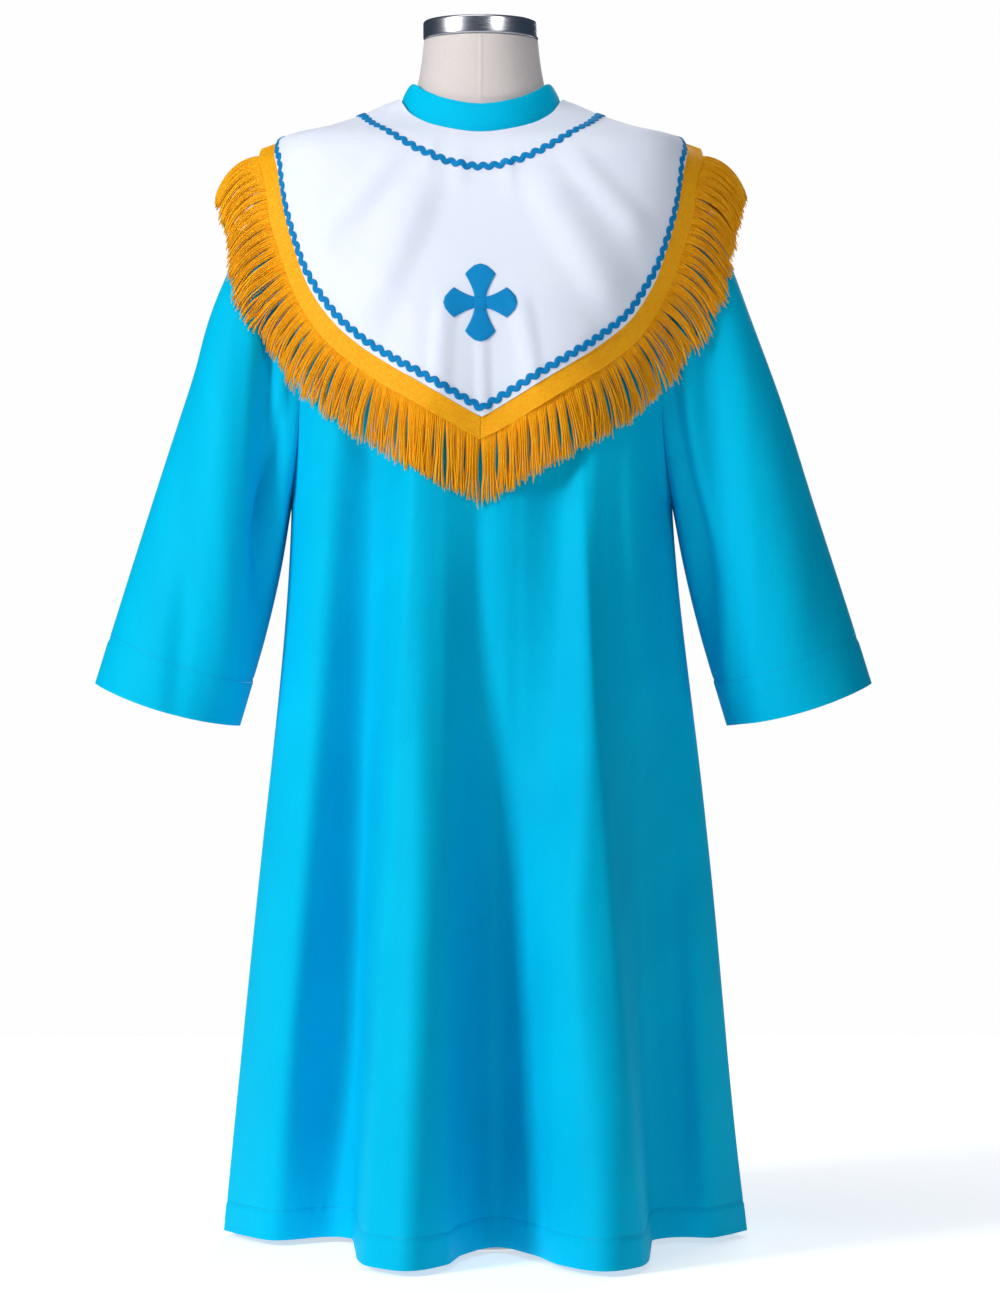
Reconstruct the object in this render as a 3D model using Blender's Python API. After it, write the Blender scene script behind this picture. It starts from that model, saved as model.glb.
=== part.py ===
"""Altar server robe on a limbless dress form.

A turquoise robe with a band collar and wide sleeves hangs from the shoulders of a linen form.
A white cape, pointed in front and behind, lies over its shoulders. The cape carries two rings of
rickrack, a flared cross and a gold fringe. Every cloth piece opens at the centre back.

Metres. +Z is up, the wearer faces -Y and the wearer's left is +X. The form stands on the floor at Z = 0.
Angles go round the body in degrees: 0 at the wearer's left side, 90 in front, 180 right, 270 behind.
"""

import bisect
import functools
import math

import bmesh
import bpy
from mathutils import Vector
from mathutils.bvhtree import BVHTree

# Robe body
HEM_HEIGHT = 0.006
ROBE_CLOTH = 0.002
FLARE_TOP = 1.008
FLARE_POWER = 1.25
SEAM_GAP = 0.0003

# The body's outer face: one row for each level where its cut changes. Squareness 2 is an ellipse
SECTIONS = (
    # height, half width, front depth, back depth, squareness
    (0.006, 0.2715, 0.100, 0.120, 2.2),
    (0.768, 0.196, 0.140, 0.118, 2.2),
    (0.868, 0.201, 0.141, 0.116, 2.2),
    (0.948, 0.206, 0.138, 0.118, 2.4),
    (1.018, 0.210, 0.126, 0.117, 2.8),
    (1.083, 0.212, 0.107, 0.109, 3.2),
    (1.118, 0.210, 0.098, 0.102, 3.2),
    (1.135, 0.206, 0.088, 0.096, 2.9),
    (1.155, 0.155, 0.065, 0.084, 2.5),
    (1.169, 0.115, 0.048, 0.071, 2.3),
    (1.180, 0.084, 0.042, 0.060, 2.2),
    (1.198, 0.050, 0.035, 0.045, 2.2),
)

# The hem's waves seen from above: across is a share of the hem's half width, towards the wearer's left
FRONT_WAVES = (
    # across, forward
    (-1.000, 0.000),
    (-0.915, 0.037),
    (-0.780, 0.074),
    (-0.570, 0.050),
    (-0.490, 0.062),
    (-0.465, 0.143),
    (-0.450, 0.200),
    (-0.410, 0.243),
    (-0.265, 0.283),
    (-0.120, 0.240),
    (-0.070, 0.177),
    (0.060, 0.122),
    (0.200, 0.177),
    (0.290, 0.243),
    (0.430, 0.283),
    (0.570, 0.243),
    (0.605, 0.205),
    (0.620, 0.143),
    (0.640, 0.065),
    (0.760, 0.052),
    (0.850, 0.056),
    (0.915, 0.037),
    (1.000, 0.000),
)
BACK_WAVES = (
    # across, backward
    (-1.000, 0.000),
    (-0.900, 0.050),
    (-0.800, 0.070),
    (-0.660, 0.165),
    (-0.540, 0.240),
    (-0.400, 0.185),
    (-0.260, 0.120),
    (-0.120, 0.225),
    (0.020, 0.283),
    (0.140, 0.230),
    (0.290, 0.130),
    (0.440, 0.205),
    (0.570, 0.250),
    (0.700, 0.160),
    (0.800, 0.075),
    (0.900, 0.050),
    (1.000, 0.000),
)
WIDEST_COLUMN = 0.090
WIDEST_TURN = 9.0

# Armholes and sleeves
ARMHOLE_MIDDLE = 0.944
ARMHOLE_HALF_HEIGHT = 0.183
ARMHOLE_HALF_ANGLE = 26.0
ARMHOLE_STEPS = 8
CHEST_SAG = 0.030
CUFF_CENTRE = (0.3255, 0.553)
CUFF_HALF_WIDTH = 0.0765
CUFF_HALF_DEPTH = 0.072
CUFF_TILT = 0.022
CUFF_DIP = 0.007
SLEEVE_FALL = 17.2
SLEEVE_ROWS = 8
SLEEVE_FOLDS = (
    # turn at the top, turn at the cuff, half width, depth (inward), strongest at, reach
    (98.0, 168.0, 28.0, 0.030, 0.42, 0.58),
    (262.0, 198.0, 28.0, 0.024, 0.50, 0.60),
)

# Collar
NECK_HALF_WIDTH = 0.084
NECK_HALF_DEPTH = 0.086
NECK_BACK_DEPTH = 0.071
COLLAR_LEAN_FRONT = 0.012
COLLAR_LEAN_BACK = 0.006
COLLAR_RISE_SIDE = 0.0195
COLLAR_RISE_FRONT = 0.0265
COLLAR_CLOTH = 0.0022
COLLAR_GAP = 0.0013

# Cape
CAPE_LIFT = 0.0050
CAPE_CLOTH = 0.0015
CAPE_LEVELS = (0.0, 0.06, 0.14, 0.26, 0.45, 0.70, 1.0)
CAPE_STEP = 7.5
CAPE_EDGE = (
    # angle from the side, height
    (0.0, 1.1352),
    (20.0, 1.100),
    (29.0, 1.043),
    (38.5, 0.980),
    (47.0, 0.946),
    (57.0, 0.919),
    (74.5, 0.879),
    (90.0, 0.844),
)

# Rickrack: a woven zigzag braid
RICKRACK_WAVE = 0.0132
RICKRACK_SWING = 0.0020
RICKRACK_WIDTH = 0.0056
RICKRACK_THICKNESS = 0.0012
RICKRACK_FROM_NECK = 0.043
RICKRACK_FROM_EDGE = 0.0080
TRIM_GAP = 0.0013
CAPE_SAMPLES = 24

# Cross: four flared arms with bowed ends
CROSS_HEIGHT = 0.0795
CROSS_WIDTH = 0.0745
CROSS_CENTRE_HEIGHT = 0.959
CROSS_WAIST = 0.0118
CROSS_ARM_END = 0.0308
CROSS_END_BOW = 0.0108
CROSS_THICKNESS = 0.0016
CROSS_ARM_ROWS = 5

# Fringe
HEADER_WIDTH = 0.0205
HEADER_THICKNESS = 0.0018
HEADER_GAP = 0.0009
LOCK_LENGTH = 0.066
LOCK_PITCH = 0.0106
LOCK_WIDTHS = (0.74, 0.46)
LOCK_THICKNESS = (0.0022, 0.0016)
FRINGE_CLEARANCE = 0.0050
FRINGE_FAN = 6.0

# Dress form and stand
FORM_GAP = 0.0036
FORM_STEPS = 36
# The torso below the shoulders, hidden by the robe
FORM_TORSO = (
    # height, half width, front depth, back depth
    (0.588, 0.150, 0.100, 0.108),
    (0.628, 0.160, 0.106, 0.114),
    (0.728, 0.146, 0.100, 0.104),
    (0.818, 0.128, 0.094, 0.092),
    (0.918, 0.150, 0.118, 0.104),
    (0.988, 0.168, 0.112, 0.106),
    (1.038, 0.184, 0.106, 0.102),
)
# The shoulders follow the inside of the robe at these heights
FORM_SHOULDERS = (1.083, 1.110, 1.125, 1.134, 1.143, 1.157, 1.167, 1.173)
FORM_NECK = (
    # height, half width, front depth, back depth
    (1.180, 0.0725, 0.0660, 0.0620),
    (1.188, 0.0680, 0.0640, 0.0580),
    (1.203, 0.0650, 0.0625, 0.0540),
    (1.226, 0.0615, 0.0600, 0.0520),
    (1.252, 0.0592, 0.0580, 0.0505),
)
CAP_HEIGHT = 0.0185
CAP_OVERHANG = 0.0008
CAP_BEVEL = 0.0025
POLE_RADIUS = 0.014
BASE_RADIUS = 0.105
BASE_THICKNESS = 0.012
BASE_BEVEL = 0.003

# Finishes: sRGB colour, roughness, metallic
FINISHES = {
    "turquoise_gabardine": ("00b8ec", 0.55, 0.0),
    "white_gabardine": ("dfe4f6", 0.60, 0.0),
    "blue_rickrack": ("0484c1", 0.65, 0.0),
    "gold_fringe": ("e79a16", 0.50, 0.0),
    "form_linen": ("e6dbd6", 0.85, 0.0),
    "chrome": ("d8d8dc", 0.12, 1.0),
    "stand_steel": ("d9d9da", 0.40, 0.3),
}


def clear_scene():
    for item in list(bpy.data.objects):
        bpy.data.objects.remove(item, do_unlink=True)


def linear(channel):
    """One sRGB channel, 0 to 1, as a linear value."""
    return channel / 12.92 if channel <= 0.04045 else ((channel + 0.055) / 1.055) ** 2.4


def finish(name):
    """The named finish as a Principled material, made once."""
    found = bpy.data.materials.get(name)
    if found:
        return found
    colour, roughness, metallic = FINISHES[name]
    material = bpy.data.materials.new(name)
    material.use_nodes = True
    shader = material.node_tree.nodes["Principled BSDF"]
    red, green, blue = (linear(int(colour[k:k + 2], 16) / 255) for k in (0, 2, 4))
    shader.inputs["Base Color"].default_value = (red, green, blue, 1.0)
    shader.inputs["Roughness"].default_value = roughness
    shader.inputs["Metallic"].default_value = metallic
    return material


def named_object(name, shape, finish_name):
    """A mesh object from a bmesh, with outward faces and its own material."""
    bmesh.ops.triangulate(shape, faces=shape.faces[:])
    bmesh.ops.recalc_face_normals(shape, faces=shape.faces[:])
    if shape.calc_volume(signed=True) < 0:
        bmesh.ops.reverse_faces(shape, faces=shape.faces[:])
    mesh = bpy.data.meshes.new(name)
    shape.to_mesh(mesh)
    shape.free()
    mesh.materials.append(finish(finish_name))
    mesh.shade_smooth()
    mesh.set_sharp_from_angle(angle=math.radians(40))
    made = bpy.data.objects.new(name, mesh)
    bpy.context.scene.collection.objects.link(made)
    return made


def slope_between(rows, row, column):
    a, b = rows[row], rows[row + 1]
    return (b[column] - a[column]) / (b[0] - a[0])


def slope_at(rows, row, column):
    """Slope of the smooth curve at one row of a table. It never swings past the rows' values."""
    if row == 0 or row == len(rows) - 1:
        return slope_between(rows, min(row, len(rows) - 2), column)
    before = slope_between(rows, row - 1, column)
    after = slope_between(rows, row, column)
    if before * after <= 0:
        return 0.0
    return 2 * before * after / (before + after)


def through(rows, place, column):
    """The smooth curve through one column of a table, read at a place in its first column."""
    place = min(max(place, rows[0][0]), rows[-1][0])
    k = 0
    while k < len(rows) - 2 and rows[k + 1][0] <= place:
        k += 1
    step = rows[k + 1][0] - rows[k][0]
    t = (place - rows[k][0]) / step
    return (
        rows[k][column] * (1 + 2 * t) * (1 - t) ** 2
        + rows[k + 1][column] * t * t * (3 - 2 * t)
        + step * slope_at(rows, k, column) * t * (1 - t) ** 2
        - step * slope_at(rows, k + 1, column) * t * t * (1 - t)
    )


def bell(distance):
    """1 at the middle of a fold, 0 one half width away."""
    return 0.5 + 0.5 * math.cos(math.pi * min(abs(distance), 1.0))


def signed_power(value, power):
    return math.copysign(abs(value) ** power, value)


# The body's surface


def body_face(angle, height):
    """A point of the robe body's outer face. Waves grow from the chest down to the hem."""
    turn = math.radians(angle)
    power = 2 / through(SECTIONS, height, 4)
    across = signed_power(math.cos(turn), power)
    behind = math.sin(turn) < 0
    depth = through(SECTIONS, height, 3 if behind else 2) * abs(math.sin(turn)) ** power
    flare = min(max((FLARE_TOP - height) / (FLARE_TOP - HEM_HEIGHT), 0.0), 1.0) ** FLARE_POWER
    wave = through(BACK_WAVES if behind else FRONT_WAVES, across, 1)
    depth += (wave - depth) * flare
    return Vector((through(SECTIONS, height, 1) * across, depth if behind else -depth, height))


def body_normal(angle, height):
    """Outward direction of the body's face, taken over a small patch so that folds stay clean."""
    turn_step, height_step = 1.0, 0.002
    across = body_face(angle + turn_step, height) - body_face(angle - turn_step, height)
    up = body_face(angle, height + height_step) - body_face(angle, height - height_step)
    return up.cross(across).normalized()


def body_point(angle, height, outward=0.0):
    return body_face(angle, height) + body_normal(angle, height) * outward


@functools.lru_cache(maxsize=None)
def neckline_height(angle):
    """Height where the body's face meets the round neck opening."""
    low, high = SECTIONS[5][0], SECTIONS[-1][0]
    for _ in range(30):
        middle = (low + high) / 2
        place = body_face(angle, middle)
        deep = NECK_HALF_DEPTH if place.y < 0 else NECK_BACK_DEPTH
        if (place.x / NECK_HALF_WIDTH) ** 2 + (place.y / deep) ** 2 > 1:
            low = middle
        else:
            high = middle
    return low


def armhole_place(turn, share=1.0):
    """Angle from the side and height of the armhole's edge. Turn 0 is its top, 90 its front."""
    swing = math.radians(turn)
    return (
        ARMHOLE_HALF_ANGLE * math.sin(swing) * share,
        ARMHOLE_MIDDLE + ARMHOLE_HALF_HEIGHT * math.cos(swing) * share,
    )


def side_angle(side, angle):
    """An angle from the wearer's left (side 1) or right (side -1), forward positive."""
    return angle if side > 0 else 180.0 - angle


# Cloth walls


def cloth(name, columns, rows, faces, finish_name, closed=False):
    """A cloth wall from one grid. faces(row, column) gives its outer and inner points."""
    shape = bmesh.new()
    bmesh.ops.create_grid(shape, x_segments=columns - 1, y_segments=rows - 1, size=0.5)
    row_layer = shape.verts.layers.int.new("row")
    column_layer = shape.verts.layers.int.new("column")
    for vert in shape.verts:
        vert[row_layer] = round((vert.co.y + 0.5) * (rows - 1))
        vert[column_layer] = round((vert.co.x + 0.5) * (columns - 1))
    if closed:
        first = {v[row_layer]: v for v in shape.verts if v[column_layer] == 0}
        last = [v for v in shape.verts if v[column_layer] == columns - 1]
        bmesh.ops.weld_verts(shape, targetmap={v: first[v[row_layer]] for v in last})
    made = bmesh.ops.extrude_face_region(shape, geom=shape.faces[:], use_keep_orig=True)
    inner = {item for item in made["geom"] if isinstance(item, bmesh.types.BMVert)}
    for vert in shape.verts:
        outer_point, inner_point = faces(vert[row_layer], vert[column_layer])
        vert.co = inner_point if vert in inner else outer_point
    return named_object(name, shape, finish_name)


def body_columns(waves, low, high):
    """Angles of a panel's columns: one at every row of its wave table, more where it is wide or turns."""
    places = [row[0] for row in waves if low <= row[0] <= high]
    if places[0] > low:
        places.insert(0, low)
    if places[-1] < high:
        places.append(high)
    squareness = SECTIONS[0][4]
    turns = [math.degrees(math.acos(signed_power(place, squareness / 2))) for place in places]
    angles = [turns[0]]
    for k in range(1, len(places)):
        wide = (places[k] - places[k - 1]) / WIDEST_COLUMN
        turned_by = (turns[k - 1] - turns[k]) / WIDEST_TURN
        parts = math.ceil(max(wide, turned_by))
        angles += [turns[k - 1] + (turns[k] - turns[k - 1]) * part / parts for part in range(1, parts + 1)]
    return angles


def body_levels():
    """Panel rows from the hem up, as (zone, share). Zones are skirt, armhole and yoke."""
    skirt = [("skirt", share) for share in (0.0, 0.25, 0.52, 0.78)]
    armhole = [("armhole", k / ARMHOLE_STEPS) for k in range(ARMHOLE_STEPS + 1)]
    yoke = [("yoke", share) for share in (0.15, 0.38, 0.70, 1.0)]
    return skirt + armhole + yoke


def panel_place(angle, level, half):
    """Body angle and height of a panel's point. half is 1 in front and -1 behind."""
    zone, share = level
    inward = math.sin(math.radians(angle))
    if zone == "skirt":
        bottom_of_armhole = ARMHOLE_MIDDLE - ARMHOLE_HALF_HEIGHT
        return half * angle, HEM_HEIGHT + (bottom_of_armhole - HEM_HEIGHT) * share
    if zone == "armhole":
        edge, height = armhole_place(180.0 * (1 - share))
        drawn_in = edge + angle * (180.0 - 2 * edge) / 180.0
        return half * drawn_in, height - CHEST_SAG * inward * share
    tip = ARMHOLE_MIDDLE + ARMHOLE_HALF_HEIGHT - CHEST_SAG * inward
    return half * angle, tip + (neckline_height(half * angle) - tip) * share


def robe_panel(name, angles, half, centre_side=0):
    """A front or back panel. centre_side keeps half a back on its own side of the centre seam."""
    levels = body_levels()

    def faces(row, column):
        zone, share = levels[row]
        angle = angles[column]
        place, height = panel_place(angle, levels[row], half)
        points = [body_point(place, height), body_point(place, height, -ROBE_CLOTH)]
        on_side_seam = angle in (0.0, 180.0) and (zone != "armhole" or share in (0.0, 1.0))
        for point in points:
            if on_side_seam:
                point.y = -half * SEAM_GAP / 2
            if centre_side and angle == 90.0:
                point.x = centre_side * SEAM_GAP / 2
        return points

    return cloth(name, len(angles), len(levels), faces, "turquoise_gabardine")


def robe_body():
    return (
        robe_panel("robe_front", body_columns(FRONT_WAVES, -1.0, 1.0), 1),
        robe_panel("robe_back_left", body_columns(BACK_WAVES, 0.0, 1.0), -1, centre_side=1),
        robe_panel("robe_back_right", body_columns(BACK_WAVES, -1.0, 0.0), -1, centre_side=-1),
    )


def sleeve_path(side, turn, share):
    """A point of the plain sleeve: share 0 at the armhole, 1 at the cuff. Turn 90 is its front."""
    edge_angle, edge_height = armhole_place(turn)
    hole_angle, hole_height = armhole_place(turn, 0.97)
    edge = body_face(side_angle(side, edge_angle), edge_height)
    into_hole = (body_face(side_angle(side, hole_angle), hole_height) - edge).normalized()
    outward = body_normal(side_angle(side, edge_angle), edge_height)
    start = edge + (into_hole + outward) * SEAM_GAP
    swing = math.radians(turn)
    end = Vector((
        side * (CUFF_CENTRE[0] + CUFF_HALF_WIDTH * math.cos(swing)),
        -CUFF_HALF_DEPTH * math.sin(swing),
        CUFF_CENTRE[1] + CUFF_TILT * math.cos(swing) - CUFF_DIP * math.sin(swing) ** 2,
    ))
    fall = math.radians(SLEEVE_FALL)
    top_share = (1 + math.cos(swing)) / 2
    leave = Vector((0.245, 0.0, -0.97)).lerp(Vector((0.95, 0.0, -0.31)), top_share)
    leave.y -= 0.24 * math.sin(swing)
    leave *= 0.06 + 0.14 * top_share
    leave.x *= side
    arrive = Vector((side * math.sin(fall), 0.0, -math.cos(fall))) * 0.53
    t = share
    return (
        start * ((1 + 2 * t) * (1 - t) ** 2)
        + end * (t * t * (3 - 2 * t))
        + leave * (t * (1 - t) ** 2)
        - arrive * (t * t * (1 - t))
    )


def grid_normal(grid, row, column, side):
    """Outward direction at a point of a closed grid of sleeve points."""
    count = len(grid[0])
    round_it = grid[row][(column + 1) % count] - grid[row][column - 1]
    down = grid[min(row + 1, len(grid) - 1)][column] - grid[max(row - 1, 0)][column]
    return (round_it.cross(down) * side).normalized()


def sleeve_grid(side):
    turns = [180.0 * k / ARMHOLE_STEPS for k in range(2 * ARMHOLE_STEPS)]
    shares = [(k / SLEEVE_ROWS) ** 1.15 for k in range(SLEEVE_ROWS + 1)]
    plain = [[sleeve_path(side, turn, share) for turn in turns] for share in shares]
    folded = [list(row) for row in plain]
    for row, share in enumerate(shares):
        for column, turn in enumerate(turns):
            for top_turn, cuff_turn, half_width, depth, strongest, reach in SLEEVE_FOLDS:
                middle = top_turn + (cuff_turn - top_turn) * share
                amount = bell((turn - middle) / half_width) * bell((share - strongest) / reach)
                if row:
                    folded[row][column] -= grid_normal(plain, row, column, side) * depth * amount
    return folded


def sleeve(name, side):
    grid = sleeve_grid(side)
    count = len(grid[0])

    def faces(row, column):
        column %= count
        outer = grid[row][column]
        return outer, outer - grid_normal(grid, row, column, side) * ROBE_CLOTH

    return cloth(name, count + 1, len(grid), faces, "turquoise_gabardine", closed=True)


def cape_angles(step):
    """Angles from the centre back round the front and back again."""
    count = round(360 / step)
    return [-90.0 + 360.0 * k / count for k in range(count + 1)]


def from_side(angle):
    """The angle measured from the nearer side, 0 to 90."""
    return abs((angle + 90.0) % 180.0 - 90.0)


def cape_point(angle, share, outward):
    """A point over the shoulders: share 0 at the neckline, 1 at the cape's edge."""
    top = neckline_height(angle)
    edge = through(CAPE_EDGE, from_side(angle), 1)
    return body_point(angle, top + (edge - top) * share, outward)


def open_at_back(point, angle):
    """Keeps a piece that ends at the centre back on its own side of that line."""
    if angle <= -90.0:
        point.x = SEAM_GAP / 2
    if angle >= 270.0:
        point.x = -SEAM_GAP / 2
    return point


def cape():
    angles = cape_angles(CAPE_STEP)

    def faces(row, column):
        angle, share = angles[column], CAPE_LEVELS[row]
        outer = cape_point(angle, share, CAPE_LIFT + CAPE_CLOTH)
        inner = cape_point(angle, share, CAPE_LIFT)
        return open_at_back(outer, angle), open_at_back(inner, angle)

    return cloth("cape", len(angles), len(CAPE_LEVELS), faces, "white_gabardine")


def collar():
    """A standing band that leans in, seated inside the neckline."""
    angles = cape_angles(10.0)
    levels = (0.0, 0.5, 1.0)

    def faces(row, column):
        angle, share = angles[column], levels[row]
        turn = math.radians(angle)
        deep = NECK_HALF_DEPTH if math.sin(turn) >= 0 else NECK_BACK_DEPTH
        seat = body_face(angle, neckline_height(angle))
        plan_turn = math.atan2(-seat.y / deep, seat.x / NECK_HALF_WIDTH)
        front, behind = max(math.sin(turn), 0.0), max(-math.sin(turn), 0.0)
        rise = COLLAR_RISE_SIDE + (COLLAR_RISE_FRONT - COLLAR_RISE_SIDE) * front ** 2
        lean_in = COLLAR_LEAN_FRONT + (COLLAR_LEAN_BACK - COLLAR_LEAN_FRONT) * behind ** 2
        points = []
        for inset in (COLLAR_GAP, COLLAR_GAP + COLLAR_CLOTH):
            lean = inset + lean_in * share
            x = (NECK_HALF_WIDTH - lean) * math.cos(plan_turn)
            y = -(deep - lean) * math.sin(plan_turn)
            points.append(open_at_back(Vector((x, y, seat.z + rise * share)), angle))
        return points

    return cloth("collar", len(angles), len(levels), faces, "turquoise_gabardine")


# Trims laid on the cape


def surface_tree(*pieces):
    """A search tree over the outer and inner faces of finished pieces."""
    points, polygons = [], []
    for piece in pieces:
        first = len(points)
        points += [vert.co.copy() for vert in piece.data.vertices]
        polygons += [[first + k for k in face.vertices] for face in piece.data.polygons]
    return BVHTree.FromPolygons(points, polygons)


def laid_on(tree, point, normal, clearance):
    """Moves a point along a normal, then square to what it meets, until it lies clear of the pieces."""
    reach = 0.12
    hit = tree.ray_cast(point + normal * reach, -normal, reach + clearance)[0]
    if hit:
        point = hit + normal * clearance
    for _ in range(3):
        nearest, _, _, distance = tree.find_nearest(point)
        if distance < clearance:
            point = point + (point - nearest).normalized() * (clearance - distance)
    return point


def pressed_on(tree, point, normal, clearance):
    """Brings a point to a set distance above the piece in the tree."""
    hit = tree.ray_cast(point + normal * 0.02, -normal, 0.05)[0]
    return (hit or point) + normal * clearance


def edge_line(share_of_angle, step):
    """Points and normals along a line of the cape, from the centre back round to it again."""
    line = []
    for angle in cape_angles(step):
        share = share_of_angle(angle)
        point = open_at_back(cape_point(angle, share, CAPE_LIFT + CAPE_CLOTH), angle)
        line.append((point, body_normal(angle, point.z)))
    return line


def mitred(across):
    """A direction across a trim, turned into the centre plane so that its end is cut there."""
    in_plane = Vector((0.0, across.y, across.z))
    return in_plane / in_plane.length_squared


def spaced(line, pitch):
    """The same line as points at an even pitch, with the direction across it at each."""
    lengths = [0.0]
    for (a, _), (b, _) in zip(line, line[1:]):
        lengths.append(lengths[-1] + (b - a).length)
    count = round(lengths[-1] / pitch)
    places = []
    for k in range(count + 1):
        want = lengths[-1] * k / count
        i = min(max(bisect.bisect_right(lengths, want), 1), len(line) - 1)
        t = (want - lengths[i - 1]) / (lengths[i] - lengths[i - 1])
        point = line[i - 1][0].lerp(line[i][0], t)
        normal = line[i - 1][1].lerp(line[i][1], t).normalized()
        places.append((point, normal))
    result = []
    for k, (point, normal) in enumerate(places):
        before, after = places[max(k - 1, 0)][0], places[min(k + 1, count)][0]
        across = normal.cross(after - before).normalized()
        if k in (0, count):
            across = mitred(across)
        result.append((point, normal, across))
    return result


def rickrack(name, line, tree):
    """A zigzag braid: its middle swings from side to side, half a wave at each step."""
    places = spaced(line, RICKRACK_WAVE / 2)

    def faces(row, column):
        point, normal, across = places[row]
        swing = RICKRACK_SWING if row % 2 else -RICKRACK_SWING
        side = swing + RICKRACK_WIDTH * (column - 0.5)
        low = pressed_on(tree, point + across * side, normal, TRIM_GAP)
        return low + normal * RICKRACK_THICKNESS, low

    return cloth(name, 2, len(places), faces, "blue_rickrack")


@functools.lru_cache(maxsize=None)
def cape_lengths(angle):
    """Length down the cape from the neckline to each of its levels at one angle."""
    points = [cape_point(angle, k / CAPE_SAMPLES, 0.0) for k in range(CAPE_SAMPLES + 1)]
    lengths = [0.0]
    for a, b in zip(points, points[1:]):
        lengths.append(lengths[-1] + (b - a).length)
    return lengths


def share_at(angle, length):
    """Share of the way down the cape at a length below the neckline."""
    lengths = cape_lengths(angle)
    k = min(max(bisect.bisect_right(lengths, length), 1), CAPE_SAMPLES)
    return (k - 1 + (length - lengths[k - 1]) / (lengths[k] - lengths[k - 1])) / CAPE_SAMPLES


def share_from_neck(distance):
    def share(angle):
        return share_at(angle, distance)
    return share


def share_from_edge(distance):
    def share(angle):
        return share_at(angle, cape_lengths(angle)[-1] - distance * edge_slant(angle))
    return share


def edge_slant(angle):
    """How much longer a step down the cape is than the same step square to its edge."""
    turned = 0.8
    centred = abs(from_side(angle) - 90.0) < turned
    here, beside = cape_point(angle, 1.0, 0.0), cape_point(angle + turned, 1.0, 0.0)
    along = beside - (here if centred else cape_point(angle - turned, 1.0, 0.0))
    down = here - cape_point(angle, 0.96, 0.0)
    return 1 / max(along.normalized().cross(down.normalized()).length, 0.5)


def cross(tree):
    """The applique cross, cut as one piece and laid on the cape's front."""
    shape = bmesh.new()
    half_waist = CROSS_WAIST / 2
    centre = {}
    for corner in ((-1, -1), (1, -1), (1, 1), (-1, 1)):
        centre[corner] = shape.verts.new((corner[0] * half_waist, corner[1] * half_waist, 0.0))
    shape.faces.new(centre.values())
    for k in range(4):
        swing = math.radians(90 * k)
        along = Vector((math.cos(swing), math.sin(swing), 0.0))
        beside = Vector((-along.y, along.x, 0.0))
        reach = (CROSS_WIDTH if k % 2 == 0 else CROSS_HEIGHT) / 2
        corners = sorted(centre.values(), key=lambda v: -(v.co @ along))[:2]
        corners.sort(key=lambda v: v.co @ beside)
        last = [corners[0], None, None, corners[1]]
        for row in range(1, CROSS_ARM_ROWS + 1):
            share = row / CROSS_ARM_ROWS
            corner_reach = half_waist + (reach - CROSS_END_BOW - half_waist) * share
            half = half_waist + (CROSS_ARM_END / 2 - half_waist) * share ** 1.4
            fresh = []
            for across in (-1.0, -0.42, 0.42, 1.0):
                bow = CROSS_END_BOW * (1 - across * across) * share ** 2
                fresh.append(shape.verts.new(along * (corner_reach + bow) + beside * half * across))
            if last[1] is None:
                shape.faces.new((last[0], fresh[0], fresh[1], fresh[2], fresh[3], last[3]))
            else:
                for a in range(3):
                    shape.faces.new((last[a], fresh[a], fresh[a + 1], last[a + 1]))
            last = fresh
    bmesh.ops.triangulate(shape, faces=shape.faces[:])
    made = bmesh.ops.extrude_face_region(shape, geom=shape.faces[:], use_keep_orig=True)
    upper = {item for item in made["geom"] if isinstance(item, bmesh.types.BMVert)}
    forward = Vector((0.0, -1.0, 0.0))
    for vert in shape.verts:
        x, up = vert.co.x, vert.co.y
        place = Vector((x, -0.14, CROSS_CENTRE_HEIGHT + up))
        low = pressed_on(tree, place, forward, TRIM_GAP)
        vert.co = low + forward * CROSS_THICKNESS if vert in upper else low
    return named_object("cross", shape, "blue_rickrack")


# Fringe


def header_direction(places, k):
    """Square to the cape's edge and away from it, mitred where the edge turns or ends."""
    point, normal, _ = places[k]
    sides = []
    if k > 0:
        sides.append(normal.cross(point - places[k - 1][0]).normalized())
    if k < len(places) - 1:
        sides.append(normal.cross(places[k + 1][0] - point).normalized())
    if len(sides) == 1:
        return mitred(sides[0])
    middle = (sides[0] + sides[1]).normalized()
    return middle / middle.dot(sides[0])


def fanned(direction, point):
    """Holds back a direction's sweep round the shoulder, so that locks from front and back stay apart."""
    sweep = min(abs(direction.y), abs(point.y) * FRINGE_FAN)
    return Vector((direction.x, math.copysign(sweep, direction.y), direction.z)).normalized()


def lock_directions(root, outward):
    """Directions of a lock's two halves: it leaves square to the header and bends down."""
    down = Vector((0.0, 0.0, -1.0))
    level = outward.xy.length
    return fanned(down.lerp(outward, level ** 2.5), root), fanned(down.lerp(outward, 0.8 * level ** 5), root)


def smoothed(directions):
    """Evens out directions along the fringe, so that neighbouring locks run alongside each other."""
    reach = 5
    return [
        sum(directions[max(k - reach, 0):k + reach + 1], Vector()).normalized()
        for k in range(len(directions))
    ]


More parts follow.
